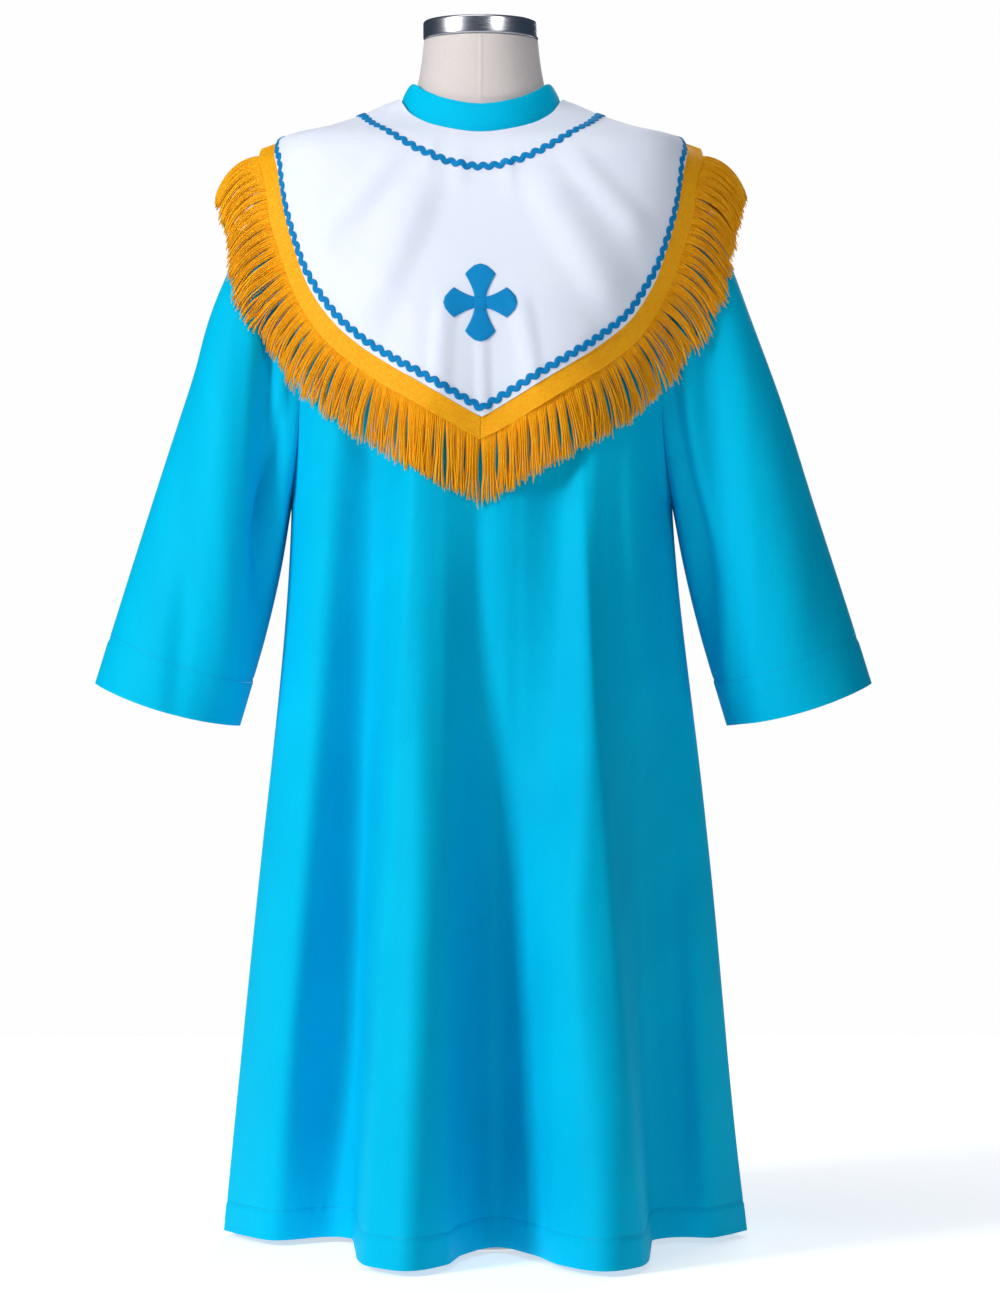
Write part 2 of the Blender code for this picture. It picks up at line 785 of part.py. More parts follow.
def fringe(name, side, tree):
    """Half of the fringe: a woven header strip and the locks that hang from it, as one piece."""
    whole = edge_line(lambda angle: 1.0, CAPE_STEP)
    middle = len(whole) // 2
    places = spaced(whole[:middle + 1] if side > 0 else whole[middle:], LOCK_PITCH)
    thick = HEADER_THICKNESS
    shape = bmesh.new()
    stations = []
    for k, (point, normal, _) in enumerate(places):
        along = header_direction(places, k)
        if k in (0, len(places) - 1):
            normal = Vector((0.0, normal.y, normal.z)).normalized()
            point = Vector((side * SEAM_GAP / 2, point.y, point.z))
        wide = fanned(along, point) * along.length * HEADER_WIDTH
        root = laid_on(tree, point + wide, normal, FRINGE_CLEARANCE)
        outward = (root - point).normalized()
        first = point + outward * HEADER_GAP
        corners = [
            shape.verts.new(first - normal * thick * 0.85),
            shape.verts.new(first + normal * thick * 0.15),
            shape.verts.new(root + normal * thick * 0.5),
            shape.verts.new(root - normal * thick * 0.5),
        ]
        stations.append((corners, root, normal, lock_directions(root, outward)))
    halves = [smoothed([station[3][half] for station in stations]) for half in (0, 1)]
    centres = []
    for (_, root, normal, _), leave, fall in zip(stations, *halves):
        half_way = laid_on(tree, root + leave * LOCK_LENGTH / 2, normal, FRINGE_CLEARANCE)
        centres.append((half_way, laid_on(tree, half_way + fall * LOCK_LENGTH / 2, normal, FRINGE_CLEARANCE)))
    for k in range(len(stations) - 1):
        (a, _, normal_a, _), (b, _, normal_b, _) = stations[k:k + 2]
        for i, j in ((0, 1), (1, 2), (3, 0)):
            shape.faces.new((a[i], b[i], b[j], a[j]))
        normal = (normal_a + normal_b).normalized()
        last = [a[2], b[2], b[3], a[3]]
        for from_a, from_b, width, depth in zip(*centres[k:k + 2], LOCK_WIDTHS, LOCK_THICKNESS):
            fresh = [
                shape.verts.new(from_a.lerp(from_b, 0.5 + across * width / 2) + normal * deep * depth / 2)
                for across, deep in ((-1, 1), (1, 1), (1, -1), (-1, -1))
            ]
            for i in range(4):
                j = (i + 1) % 4
                shape.faces.new((last[i], last[j], fresh[j], fresh[i]))
            last = fresh
        shape.faces.new(last)
    shape.faces.new(stations[0][0])
    shape.faces.new(stations[-1][0])
    return named_object(name, shape, "gold_fringe")


# Dress form and stand


def oval_ring(height, half_width, front, back):
    ring = []
    for k in range(FORM_STEPS):
        turn = math.tau * k / FORM_STEPS
        depth = front if math.sin(turn) >= 0 else back
        ring.append(Vector((half_width * math.cos(turn), -depth * math.sin(turn), height)))
    return ring


def form():
    """The padded torso and neck. Its shoulders fill the robe and its lower part is hidden."""
    rings = [oval_ring(*row) for row in FORM_TORSO]
    inward = -(ROBE_CLOTH + FORM_GAP)
    for height in FORM_SHOULDERS:
        rings.append([body_point(360.0 * k / FORM_STEPS, height, inward) for k in range(FORM_STEPS)])
    rings += [oval_ring(*row) for row in FORM_NECK]
    shape = bmesh.new()
    loops = [[shape.verts.new(point) for point in ring] for ring in rings]
    for low, high in zip(loops, loops[1:]):
        for k in range(FORM_STEPS):
            after = (k + 1) % FORM_STEPS
            shape.faces.new((low[k], low[after], high[after], high[k]))
    shape.faces.new(loops[0])
    shape.faces.new(loops[-1])
    return named_object("form_torso", shape, "form_linen")


def turned(name, radius, low, high, finish_name, bevel=0.0, segments=32):
    """A round bar or disc, standing upright, with its top edge eased."""
    shape = bmesh.new()
    bmesh.ops.create_cone(
        shape, cap_ends=True, segments=segments, radius1=radius, radius2=radius, depth=high - low
    )
    if bevel:
        rim = [edge for edge in shape.edges if all(vert.co.z > 0 for vert in edge.verts)]
        bmesh.ops.bevel(
            shape, geom=rim, offset=bevel, segments=2, profile=0.5, affect="EDGES", material=-1
        )
    bmesh.ops.translate(shape, verts=shape.verts[:], vec=(0.0, 0.0, (low + high) / 2))
    return named_object(name, shape, finish_name)


def neck_cap():
    height, half_width, front, back = FORM_NECK[-1]
    low = height + SEAM_GAP
    radius = half_width + CAP_OVERHANG
    cap = turned("form_neck_cap", radius, low, low + CAP_HEIGHT, "chrome", CAP_BEVEL)
    flatten = (front + back) / 2 / half_width
    for vert in cap.data.vertices:
        vert.co.y = vert.co.y * flatten - (front - back) / 2
    return cap


def stand():
    torso_bottom = FORM_TORSO[0][0]
    turned("stand_base", BASE_RADIUS, 0.0, BASE_THICKNESS, "stand_steel", BASE_BEVEL)
    turned(
        "stand_pole", POLE_RADIUS, BASE_THICKNESS + SEAM_GAP, torso_bottom - SEAM_GAP, "stand_steel",
        segments=16,
    )


def build():
    clear_scene()
    stand()
    form()
    neck_cap()
    robe = list(robe_body())
    robe.append(sleeve("sleeve_left", 1))
    robe.append(sleeve("sleeve_right", -1))
    white = cape()
    collar()
    on_cape = surface_tree(white)
    rickrack("rickrack_neck", edge_line(share_from_neck(RICKRACK_FROM_NECK), 1.0), on_cape)
    rickrack("rickrack_edge", edge_line(share_from_edge(RICKRACK_FROM_EDGE), 1.0), on_cape)
    cross(on_cape)
    on_robe = surface_tree(*robe)
    fringe("fringe_left", 1, on_robe)
    fringe("fringe_right", -1, on_robe)


build()
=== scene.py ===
"""Altar server robe on a limbless dress form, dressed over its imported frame.

Metres. +Z is up, the wearer faces -Y and the wearer's left is +X. Angles go round the body in degrees:
0 at the wearer's left side, 90 in front, 180 right and -90 behind.
"""

import math

import bmesh
import bpy
import numpy as np
from mathutils import Matrix, Vector
from mathutils.bvhtree import BVHTree


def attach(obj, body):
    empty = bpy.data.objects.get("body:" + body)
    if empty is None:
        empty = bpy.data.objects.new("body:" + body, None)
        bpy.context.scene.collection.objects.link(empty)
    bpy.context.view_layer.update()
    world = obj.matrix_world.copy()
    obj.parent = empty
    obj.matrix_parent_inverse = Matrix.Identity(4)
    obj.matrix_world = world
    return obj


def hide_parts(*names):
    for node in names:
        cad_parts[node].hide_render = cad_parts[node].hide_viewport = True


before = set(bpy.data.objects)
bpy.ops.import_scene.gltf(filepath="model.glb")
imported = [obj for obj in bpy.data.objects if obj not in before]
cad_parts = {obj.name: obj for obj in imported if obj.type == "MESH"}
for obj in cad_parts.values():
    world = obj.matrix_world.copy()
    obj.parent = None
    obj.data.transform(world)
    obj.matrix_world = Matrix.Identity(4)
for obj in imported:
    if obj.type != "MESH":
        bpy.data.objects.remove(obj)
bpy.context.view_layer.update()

# The studio: a white sweep, one strong soft light high on the camera's left, and weaker ones above,
# behind and, on the chest alone, from the right. The camera stands level with the robe's middle,
# 4.3 m away, where a pixel is 1.04 mm.
PIXEL = 0.00104
PHOTO_HEIGHT = 1293
FRAME_MIDDLE = 500
ROBE_MIDDLE = 481
CAMERA_HEIGHT = 0.613
CAMERA_DISTANCE = 4.3
SOFT_LIGHTS = (
    # name, place, aimed at, size, watts, degrees that its grid lets through
    ("key", (-3.0, -2.3, 2.0), (0.0, 0.0, 0.60), 1.0, 97.0, 180.0),
    ("overhead", (-0.3, -0.7, 2.9), (0.0, 0.0, 1.05), 1.4, 14.5, 180.0),
    ("chest", (1.2, -2.0, 1.7), (0.06, 0.0, 1.12), 0.7, 0.45, 26.0),
    ("back", (0.9, 2.9, 2.2), (0.0, 0.0, 0.7), 1.8, 40.0, 180.0),
)
AMBIENT = 0.085
AMBIENT_COLOUR = "b0d4ff"
BACKDROP_COLOUR = "fefeff"
FLOOR_HALF_SIZE = 2.2
FLOOR_GLOW = 0.58


def linear(hex_colour):
    """An sRGB hex colour as linear red, green, blue and alpha."""
    channels = [int(hex_colour[k:k + 2], 16) / 255 for k in (0, 2, 4)]
    return [c / 12.92 if c <= 0.04045 else ((c + 0.055) / 1.055) ** 2.4 for c in channels] + [1.0]


def add(tree, kind, values=(), links=(), **settings):
    """Adds a node, sets its inputs and links them from other nodes' outputs."""
    node = tree.nodes.new(kind)
    for name, value in settings.items():
        setattr(node, name, value)
    for name, value in dict(values).items():
        node.inputs[name].default_value = value
    for name, output in dict(links).items():
        tree.links.new(output, node.inputs[name])
    return node


def finish_named(name, **sockets):
    """A new Principled finish, with values on the shader's own sockets."""
    material = bpy.data.materials.new(name)
    material.use_nodes = True
    for socket, value in sockets.items():
        material.node_tree.nodes["Principled BSDF"].inputs[socket.replace("_", " ")].default_value = value
    return material


def ranged(tree, value, from_low=0.0, from_high=1.0, to_low=0.0, to_high=1.0):
    """Brings a value from one range to another, and holds it there."""
    limits = {"From Min": from_low, "From Max": from_high, "To Min": to_low, "To Max": to_high}
    return add(tree, "ShaderNodeMapRange", limits, {"Value": value}).outputs["Result"]


def mixed(tree, low_hex, high_hex, share):
    """A colour between two, by a share from 0 to 1."""
    colours = {"Color1": linear(low_hex), "Color2": linear(high_hex)}
    return add(tree, "ShaderNodeMixRGB", colours, {"Fac": share}).outputs["Color"]


view = bpy.data.cameras.new("studio_camera")
view.sensor_width = 36.0
view.lens = view.sensor_width * CAMERA_DISTANCE / (PHOTO_HEIGHT * PIXEL)
camera = bpy.data.objects.new("studio_camera", view)
camera.location = ((FRAME_MIDDLE - ROBE_MIDDLE) * PIXEL, -CAMERA_DISTANCE, CAMERA_HEIGHT)
camera.rotation_euler = (math.radians(90), 0.0, 0.0)
bpy.context.scene.collection.objects.link(camera)
bpy.context.scene.camera = camera
bpy.context.scene.view_settings.view_transform = "Standard"

for name, place, aim, size, watts, spread in SOFT_LIGHTS:
    lamp = bpy.data.lights.new(name, "AREA")
    lamp.size, lamp.energy, lamp.spread = size, watts, math.radians(spread)
    light = bpy.data.objects.new(name, lamp)
    light.location = place
    light.rotation_euler = (Vector(aim) - Vector(place)).to_track_quat("-Z", "Y").to_euler()
    bpy.context.scene.collection.objects.link(light)

world = bpy.data.worlds.new("white_studio")
world.use_nodes = True
bpy.context.scene.world = world
sky = world.node_tree
seen = add(sky, "ShaderNodeLightPath").outputs["Is Camera Ray"]
backdrop = sky.nodes["Background"].inputs
sky.links.new(ranged(sky, seen, to_low=AMBIENT), backdrop["Strength"])
sky.links.new(mixed(sky, AMBIENT_COLOUR, BACKDROP_COLOUR, seen), backdrop["Color"])

sweep_shape = bmesh.new()
bmesh.ops.create_grid(sweep_shape, x_segments=1, y_segments=1, size=FLOOR_HALF_SIZE)
sweep_mesh = bpy.data.meshes.new("studio_floor")
sweep_shape.to_mesh(sweep_mesh)
sweep_shape.free()
sweep_mesh.materials.append(finish_named(
    "matt_white_paper", Base_Color=linear("f4f4f5"), Roughness=0.9,
    Emission_Color=linear("ffffff"), Emission_Strength=FLOOR_GLOW,
))
sweep = bpy.data.objects.new("studio_floor", sweep_mesh)
bpy.context.scene.collection.objects.link(sweep)

# The robe's body: a front panel and two back panels of turquoise polyester gabardine, sewn at the
# sides and at the centre back. They are cut wide, so that they hang in deep waves from the chest
# to the hem. The hem is turned up 31 mm and top-stitched.
SEAM_GAP = 0.0003
HEM_HEIGHT = 0.006
ROBE_CLOTH = 0.0013
FLARE_TOP = 1.008
FLARE_POWER = 1.25
WAVE_SOFTENING = 0.12
SECTIONS = np.array((
    # height, half width, front depth, back depth, squareness
    (0.006, 0.2715, 0.100, 0.120, 2.2),
    (0.768, 0.196, 0.140, 0.118, 2.2),
    (0.868, 0.201, 0.141, 0.116, 2.2),
    (0.948, 0.206, 0.138, 0.118, 2.4),
    (1.018, 0.210, 0.126, 0.117, 2.8),
    (1.083, 0.212, 0.107, 0.109, 3.2),
    (1.118, 0.210, 0.098, 0.102, 3.2),
    (1.133, 0.206, 0.088, 0.096, 2.9),
    (1.148, 0.155, 0.065, 0.084, 2.5),
    (1.1625, 0.115, 0.048, 0.071, 2.3),
    (1.178, 0.084, 0.042, 0.060, 2.2),
    (1.198, 0.050, 0.035, 0.045, 2.2),
))
FRONT_WAVES = np.array((
    # across, forward
    (-1.000, 0.000), (-0.915, 0.037), (-0.780, 0.074), (-0.570, 0.050), (-0.490, 0.062),
    (-0.465, 0.143), (-0.450, 0.200), (-0.410, 0.243), (-0.265, 0.283), (-0.120, 0.240),
    (-0.070, 0.177), (0.060, 0.122), (0.200, 0.177), (0.290, 0.243), (0.430, 0.283),
    (0.570, 0.243), (0.605, 0.205), (0.620, 0.143), (0.640, 0.065), (0.760, 0.052),
    (0.850, 0.056), (0.915, 0.037), (1.000, 0.000),
))
BACK_WAVES = np.array((
    # across, backward
    (-1.000, 0.000), (-0.900, 0.050), (-0.800, 0.070), (-0.660, 0.165), (-0.540, 0.240),
    (-0.400, 0.185), (-0.260, 0.120), (-0.120, 0.225), (0.020, 0.283), (0.140, 0.230),
    (0.290, 0.130), (0.440, 0.205), (0.570, 0.250), (0.700, 0.160), (0.800, 0.075),
    (0.900, 0.050), (1.000, 0.000),
))
ARMHOLE_MIDDLE = 0.944
ARMHOLE_HALF_HEIGHT = 0.183
ARMHOLE_HALF_ANGLE = 26.0
CHEST_SAG = 0.030
NECK_HALF_WIDTH = 0.084
NECK_HALF_DEPTH = 0.086
NECK_BACK_DEPTH = 0.071
HEM_TURN_UP = 0.031
# Relief of the turned-up hem: height of its ridge and softness of that, depth of the stitches' groove
# and width of that
HEM_RELIEF = (0.0007, 0.0012, 0.0008, 0.0016)
PUCKER_HEIGHT = 0.0005
HEM_PUCKERS = ((-0.155, 0.060), (0.055, 0.050), (0.190, 0.050))
HEM_PUCKER_REACH = 0.020
SEAM_CALM = 0.032
CREASE_FADE = 0.28
HEM_ROWS = 14
SKIRT_ROWS = 96
ARMHOLE_ROWS = 84
YOKE_ROWS = 12
# The panels bow out a little at the sides, more on the wearer's left
SIDE_BOW = (0.0150, 0.0055)
SIDE_BOW_HEIGHT = 0.46
SIDE_BOW_REACH = 0.42
# The hem hangs a little over to the wearer's left
HEM_SWING = 0.0048
HEM_SWING_FROM = 0.42
# Creases laid over the waves. Each runs from one place to another on the panel, seen from the front
FRONT_CREASES = (
    # from x, from height, to x, to height, half width left, half width right, depth
    (-0.152, 1.000, -0.226, -0.050, 0.046, 0.052, 0.013),
    (-0.083, 1.020, -0.157, -0.050, 0.056, 0.034, -0.023),
    (-0.082, 0.860, -0.124, -0.160, 0.010, 0.030, 0.008),
    (0.016, 0.920, 0.018, 0.460, 0.024, 0.024, 0.006),
    (-0.036, 1.000, -0.040, 0.360, 0.034, 0.056, -0.007),
    (0.082, 1.020, 0.068, 0.300, 0.050, 0.042, -0.028),
    (0.153, 1.020, 0.161, -0.150, 0.056, 0.034, 0.024),
    (0.128, 0.800, 0.172, -0.120, 0.012, 0.012, 0.0035),
    (0.178, 0.950, 0.214, -0.050, 0.034, 0.028, -0.017),
)
BACK_CREASES = (
    # from x, from height, to x, to height, half width left, half width right, depth
    (-0.110, 0.930, -0.150, 0.180, 0.022, 0.034, 0.005),
    (0.060, 0.880, 0.075, 0.240, 0.030, 0.020, -0.005),
    (0.150, 0.900, 0.190, 0.150, 0.020, 0.026, 0.004),
)


def through(rows, place, column):
    """The smooth curve through a table's column, read at places in its first column."""
    stops, values = rows[:, 0], rows[:, column]
    step = np.diff(values) / np.diff(stops)
    before, after = step[:-1], step[1:]
    steady = before * after > 0
    middle = np.where(steady, 2 * before * after / np.where(steady, before + after, 1.0), 0.0)
    slope = np.concatenate((step[:1], middle, step[-1:]))
    place = np.clip(place, stops[0], stops[-1])
    k = np.clip(np.searchsorted(stops, place, side="right") - 1, 0, len(stops) - 2)
    wide = stops[k + 1] - stops[k]
    t = (place - stops[k]) / wide
    return (
        values[k] * (1 + 2 * t) * (1 - t) ** 2 + values[k + 1] * t * t * (3 - 2 * t)
        + wide * slope[k] * t * (1 - t) ** 2 - wide * slope[k + 1] * t * t * (1 - t)
    )


def signed_power(value, power):
    return np.sign(value) * np.abs(value) ** power


def wave_depth(waves, across, height):
    """Depth of the hem's waves. They are softer further up, where they are read over a wider stretch."""
    reach = WAVE_SOFTENING * np.clip(height / FLARE_TOP, 0.0, 1.0) * (1 - across ** 8)
    return sum(through(waves, across + reach * step, 1) for step in np.linspace(-1.0, 1.0, 11)) / 11


def body_face(angle, height):
    """Points of the body's outer face. Waves grow from the chest down to the hem."""
    angle, height = np.broadcast_arrays(np.asarray(angle, float), np.asarray(height, float))
    turn = np.radians(angle)
    power = 2 / through(SECTIONS, height, 4)
    across = signed_power(np.cos(turn), power)
    behind = np.sin(turn) < 0
    depth = np.where(behind, through(SECTIONS, height, 3), through(SECTIONS, height, 2))
    depth = depth * np.abs(np.sin(turn)) ** power
    flare = np.clip((FLARE_TOP - height) / (FLARE_TOP - HEM_HEIGHT), 0.0, 1.0) ** FLARE_POWER
    wave = np.where(behind, wave_depth(BACK_WAVES, across, height), wave_depth(FRONT_WAVES, across, height))
    depth = depth + (wave - depth) * flare
    bow = 0.5 + 0.5 * np.cos(np.pi * np.clip((height - SIDE_BOW_HEIGHT) / SIDE_BOW_REACH, -1.0, 1.0))
    bow = bow * across * np.abs(across) * np.where(across > 0, *SIDE_BOW)
    bow = bow + HEM_SWING * across ** 2 * np.clip(1 - height / HEM_SWING_FROM, 0.0, 1.0) ** 1.2
    width = through(SECTIONS, height, 1)
    return np.stack((width * across + bow, np.where(behind, depth, -depth), height), -1)


def unit(vectors):
    return vectors / np.linalg.norm(vectors, axis=-1, keepdims=True)


def body_normal(angle, height):
    """Outward directions of the body's face, taken over small patches."""
    across = body_face(angle + 1.0, height) - body_face(angle - 1.0, height)
    up = body_face(angle, height + 0.002) - body_face(angle, height - 0.002)
    return unit(np.cross(up, across))


def neckline_height(angle):
    """Height where the body's face meets the round neck opening."""
    angle = np.asarray(angle, float)
    low, high = np.full(angle.shape, SECTIONS[5, 0]), np.full(angle.shape, SECTIONS[-1, 0])
    for _ in range(30):
        middle = (low + high) / 2
        place = body_face(angle, middle)
        deep = np.where(place[..., 1] < 0, NECK_HALF_DEPTH, NECK_BACK_DEPTH)
        outside = (place[..., 0] / NECK_HALF_WIDTH) ** 2 + (place[..., 1] / deep) ** 2 > 1
        low, high = np.where(outside, middle, low), np.where(outside, high, middle)
    return low


def armhole_place(turn, share=1.0):
    """Angle from the side and height of the armhole's edge. Turn 0 is its top, 90 its front."""
    swing = np.radians(turn)
    return (
        ARMHOLE_HALF_ANGLE * np.sin(swing) * share,
        ARMHOLE_MIDDLE + ARMHOLE_HALF_HEIGHT * np.cos(swing) * share,
    )


def bell(distance):
    """1 at the middle of a fold, 0 one half width away."""
    return 0.5 + 0.5 * np.cos(np.pi * np.clip(np.abs(distance), 0.0, 1.0))


def crease_depth(x, z, creases):
    """How far each place stands out (or in) where creases run over it. Each crease fades at both ends."""
    total = np.zeros(x.shape)
    for from_x, from_z, to_x, to_z, left, right, depth in creases:
        run = np.array((to_x - from_x, to_z - from_z))
        length = np.hypot(*run)
        along = ((x - from_x) * run[0] + (z - from_z) * run[1]) / length ** 2
        beside = ((x - from_x) * run[1] - (z - from_z) * run[0]) / -length
        beside = np.where(beside < 0, beside / left, beside / right)
        ends = np.clip(np.minimum(along, 1 - along) / CREASE_FADE, 0.0, 1.0)
        total += depth * bell(beside) * ends * ends * (3 - 2 * ends)
    return total


def grid_normals(grid, outward=1):
    """Unit normals of a grid of points, from its own rows and columns."""
    return unit(np.cross(np.gradient(grid, axis=0), np.gradient(grid, axis=1))) * outward


def lengths_along(grid, axis):
    """Length along each line of a grid, from its start, in metres of cloth."""
    steps = np.linalg.norm(np.diff(grid, axis=axis), axis=-1)
    start = np.zeros_like(np.take(steps, [0], axis=axis))
    return np.concatenate((start, np.cumsum(steps, axis=axis)), axis=axis)


def numbered_grid(rows, columns):
    """A flat grid whose vertices carry their place in it, counted along one row after another."""
    shape = bmesh.new()
    bmesh.ops.create_grid(shape, x_segments=columns - 1, y_segments=rows - 1, size=0.5)
    place = shape.verts.layers.int.new("place")
    for vert in shape.verts:
        row, column = round((vert.co.y + 0.5) * (rows - 1)), round((vert.co.x + 0.5) * (columns - 1))
        vert[place] = row * columns + column
    return shape, place


def cloth(name, outer, inner, finish, crisp=50.0):
    """A cloth shell from two grids of points. Its UV map is the cloth's own threads, in metres."""
    rows, columns = outer.shape[:2]
    shape, place = numbered_grid(rows, columns)
    made = bmesh.ops.extrude_face_region(shape, geom=shape.faces[:], use_keep_orig=True)
    for item in made["geom"]:
        if isinstance(item, bmesh.types.BMVert):
            item[place] += rows * columns
    points = np.concatenate((outer.reshape(-1, 3), inner.reshape(-1, 3))).tolist()
    for vert in shape.verts:
        vert.co = points[vert[place]]
    threads = np.stack((lengths_along(outer, 1), lengths_along(outer, 0)), -1).reshape(-1, 2).tolist()
    weave = shape.loops.layers.uv.new("threads")
    for face in shape.faces:
        for loop in face.loops:
            loop[weave].uv = threads[loop.vert[place] % (rows * columns)]
    return placed(name, shape, finish, crisp)


def placed(name, shape, finish, crisp=50.0):
    """A finished piece from a closed bmesh: outward faces, smooth but for crisp edges."""
    bmesh.ops.recalc_face_normals(shape, faces=shape.faces[:])
    if shape.calc_volume(signed=True) < 0:
        bmesh.ops.reverse_faces(shape, faces=shape.faces[:])
    mesh = bpy.data.meshes.new(name)
    shape.to_mesh(mesh)
    shape.free()
    mesh.materials.append(finish)
    mesh.shade_smooth()
    mesh.set_sharp_from_angle(angle=math.radians(crisp))
    piece = bpy.data.objects.new(name, mesh)
    bpy.context.scene.collection.objects.link(piece)
    return piece


def threads_of(tree):
    """Places along a cloth's own threads, in metres."""
    return add(tree, "ShaderNodeUVMap", uv_map="threads").outputs["UV"]


def stretched(tree, where, scale, degrees=0.0):
    """Places turned and multiplied, for a pattern that runs one way."""
    turned = {"Rotation": (0.0, 0.0, math.radians(degrees)), "Scale": scale}
    return add(tree, "ShaderNodeMapping", turned, {"Vector": where}).outputs["Vector"]


def bands(tree, where, waver, **settings):
    """A pattern of even bands that waver a little."""
    values = {"Scale": 1.0, "Distortion": waver}
    return add(tree, "ShaderNodeTexWave", values, {"Vector": where}, **settings).outputs["Fac"]


def noise(tree, where, scale, detail=2.0):
    """A soft random pattern."""
    values = {"Scale": scale, "Detail": detail}
    return add(tree, "ShaderNodeTexNoise", values, {"Vector": where}).outputs["Fac"]


def weighed(tree, first, weight, second):
    """One pattern times a weight, plus another."""
    links = {0: first, 2: second}
    return add(tree, "ShaderNodeMath", {1: weight}, links, operation="MULTIPLY_ADD").outputs["Value"]


def feed(tree, socket, output):
    """Links a pattern to a socket of the finish's Principled shader."""
    tree.links.new(output, tree.nodes["Principled BSDF"].inputs[socket])


def raised(tree, strength, height):
    """Raises a finish by a pattern, 0.3 mm at full strength."""
    bump = add(tree, "ShaderNodeBump", {"Strength": strength, "Distance": 0.0003}, {"Height": height})
    feed(tree, "Normal", bump.outputs["Normal"])


def gabardine(name, hex_colour, shade_hex, roughness, sheen):
    """Polyester gabardine: a tight steep twill. Its ribs, 0.4 mm apart, are drawn 1.1 mm apart to show.
    The eye sees a smooth matt cloth with faint streaks along its threads."""
    material = finish_named(name, Roughness=roughness, Specular_IOR_Level=0.03, Sheen_Weight=sheen)
    tree = material.node_tree
    twill = bands(tree, stretched(tree, threads_of(tree), (285.0, 285.0, 1.0), 27.0), 0.0)
    streaks = noise(tree, stretched(tree, threads_of(tree), (900.0, 26.0, 1.0)), 1.0)
    tones = weighed(tree, streaks, 0.5, noise(tree, threads_of(tree), 7.0))
    shaded = ranged(tree, tones, from_low=0.55, from_high=0.95, to_high=0.55)
    feed(tree, "Base Color", mixed(tree, hex_colour, shade_hex, shaded))
    raised(tree, 0.16, weighed(tree, twill, 0.25, streaks))
    return material


turquoise = gabardine("turquoise_gabardine", "00c4eb", "00b2df", 0.6, 0.0)


def even_angles(waves, low, high, count):
    """Angles of a panel's columns, evenly spaced along the hem's waves."""
    across = np.linspace(low, high, 1200)
    line = np.stack((across * SECTIONS[0, 1], through(waves, across, 1)), -1)
    run = lengths_along(line, 0)
    even = np.interp(np.linspace(0.0, run[-1], count), run, across)
    return np.degrees(np.arccos(signed_power(even, SECTIONS[0, 4] / 2)))


def panel_grid(angles, half):
    """Rows of a panel's outer face, hem first. half is 1 in front and -1 behind."""
    inward = np.sin(np.radians(angles))
    low = ARMHOLE_MIDDLE - ARMHOLE_HALF_HEIGHT
    hem_band = HEM_TURN_UP * 1.25
    hem = np.linspace(0.0, hem_band, HEM_ROWS, endpoint=False) + HEM_HEIGHT
    skirt = np.linspace(HEM_HEIGHT + hem_band, low, SKIRT_ROWS, endpoint=False)
    heights = np.concatenate((hem, skirt))
    places = [(half * angles, height + 0 * angles, True) for height in heights]
    for step in np.linspace(-1.0, 1.0, ARMHOLE_ROWS, endpoint=False):
        share = math.acos(-0.4 * step - 0.6 * math.sin(step * math.pi / 2)) / math.pi
        edge, height = armhole_place(180.0 * (1 - share))
        drawn_in = edge + angles * (180.0 - 2 * edge) / 180.0
        sag = CHEST_SAG * (1 - math.cos(math.pi * share)) / 2
        places.append((half * drawn_in, height - sag * inward, step == -1.0))
    tip = ARMHOLE_MIDDLE + ARMHOLE_HALF_HEIGHT - CHEST_SAG * inward
    neck = neckline_height(half * angles)
    for share in np.linspace(0.0, 1.0, YOKE_ROWS):
        places.append((half * angles, tip + (neck - tip) * share, True))
    on_seam = np.array([row[2] for row in places])
    return body_face(np.array([row[0] for row in places]), np.array([row[1] for row in places])), on_seam


def hem_puckers(x):
    """Small uneven puckers that the hem's stitching draws up in some places along it."""
    where = sum(bell((x - middle) / reach) for middle, reach in HEM_PUCKERS)
    ripple = np.sin(x * 560.0) + 0.6 * np.sin(x * 910.0 + 1.0) + 0.4 * np.sin(x * 333.0)
    return PUCKER_HEIGHT * (0.25 + where) * ripple


def turned_edge(rise, ridge, soft, groove, wide):
    """Relief of a turned-up edge, by height over its stitches: a ridge below them, a groove along them."""
    return ridge * (1 - 1 / (1 + np.exp(-rise / soft))) - groove * np.exp(-(rise / wide) ** 2)


def robe_panel(name, waves, low, high, count, half, creases, centre_side=0):
    """One panel of the body. centre_side is the side of the centre-back seam that it lies on, if any."""
    grid, on_seam = panel_grid(even_angles(waves, low, high, count), half)
    normals = grid_normals(grid, -half)
    from_seam = lengths_along(grid, 1)
    from_seam = np.minimum(from_seam, from_seam[:, -1:] - from_seam) / SEAM_CALM
    rise = grid[..., 2] - HEM_HEIGHT - HEM_TURN_UP
    puckers = hem_puckers(grid[..., 0]) * bell(rise / HEM_PUCKER_REACH)
    outer = grid + normals * (turned_edge(rise, *HEM_RELIEF) + puckers)[..., None]
    outer[..., 1] -= half * crease_depth(grid[..., 0], grid[..., 2], creases) * (1 - bell(from_seam))
    outer[:HEM_ROWS, :, 2] = np.maximum(outer[:HEM_ROWS, :, 2], grid[:HEM_ROWS, :, 2])
    normals = grid_normals(outer, -half)
    inner = outer - normals * ROBE_CLOTH
    for face in (outer, inner):
        face[0, :, 2] = HEM_HEIGHT
        for column in (0, -1):
            if not (centre_side and column == (0 if centre_side > 0 else -1)):
                face[on_seam, column, 1] = -half * SEAM_GAP / 2
        if centre_side:
            face[:, 0 if centre_side > 0 else -1, 0] = centre_side * SEAM_GAP / 2
    piece = cloth(name, outer, inner, turquoise)
    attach(piece, "root")
    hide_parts(name)
    return piece, outer, normals


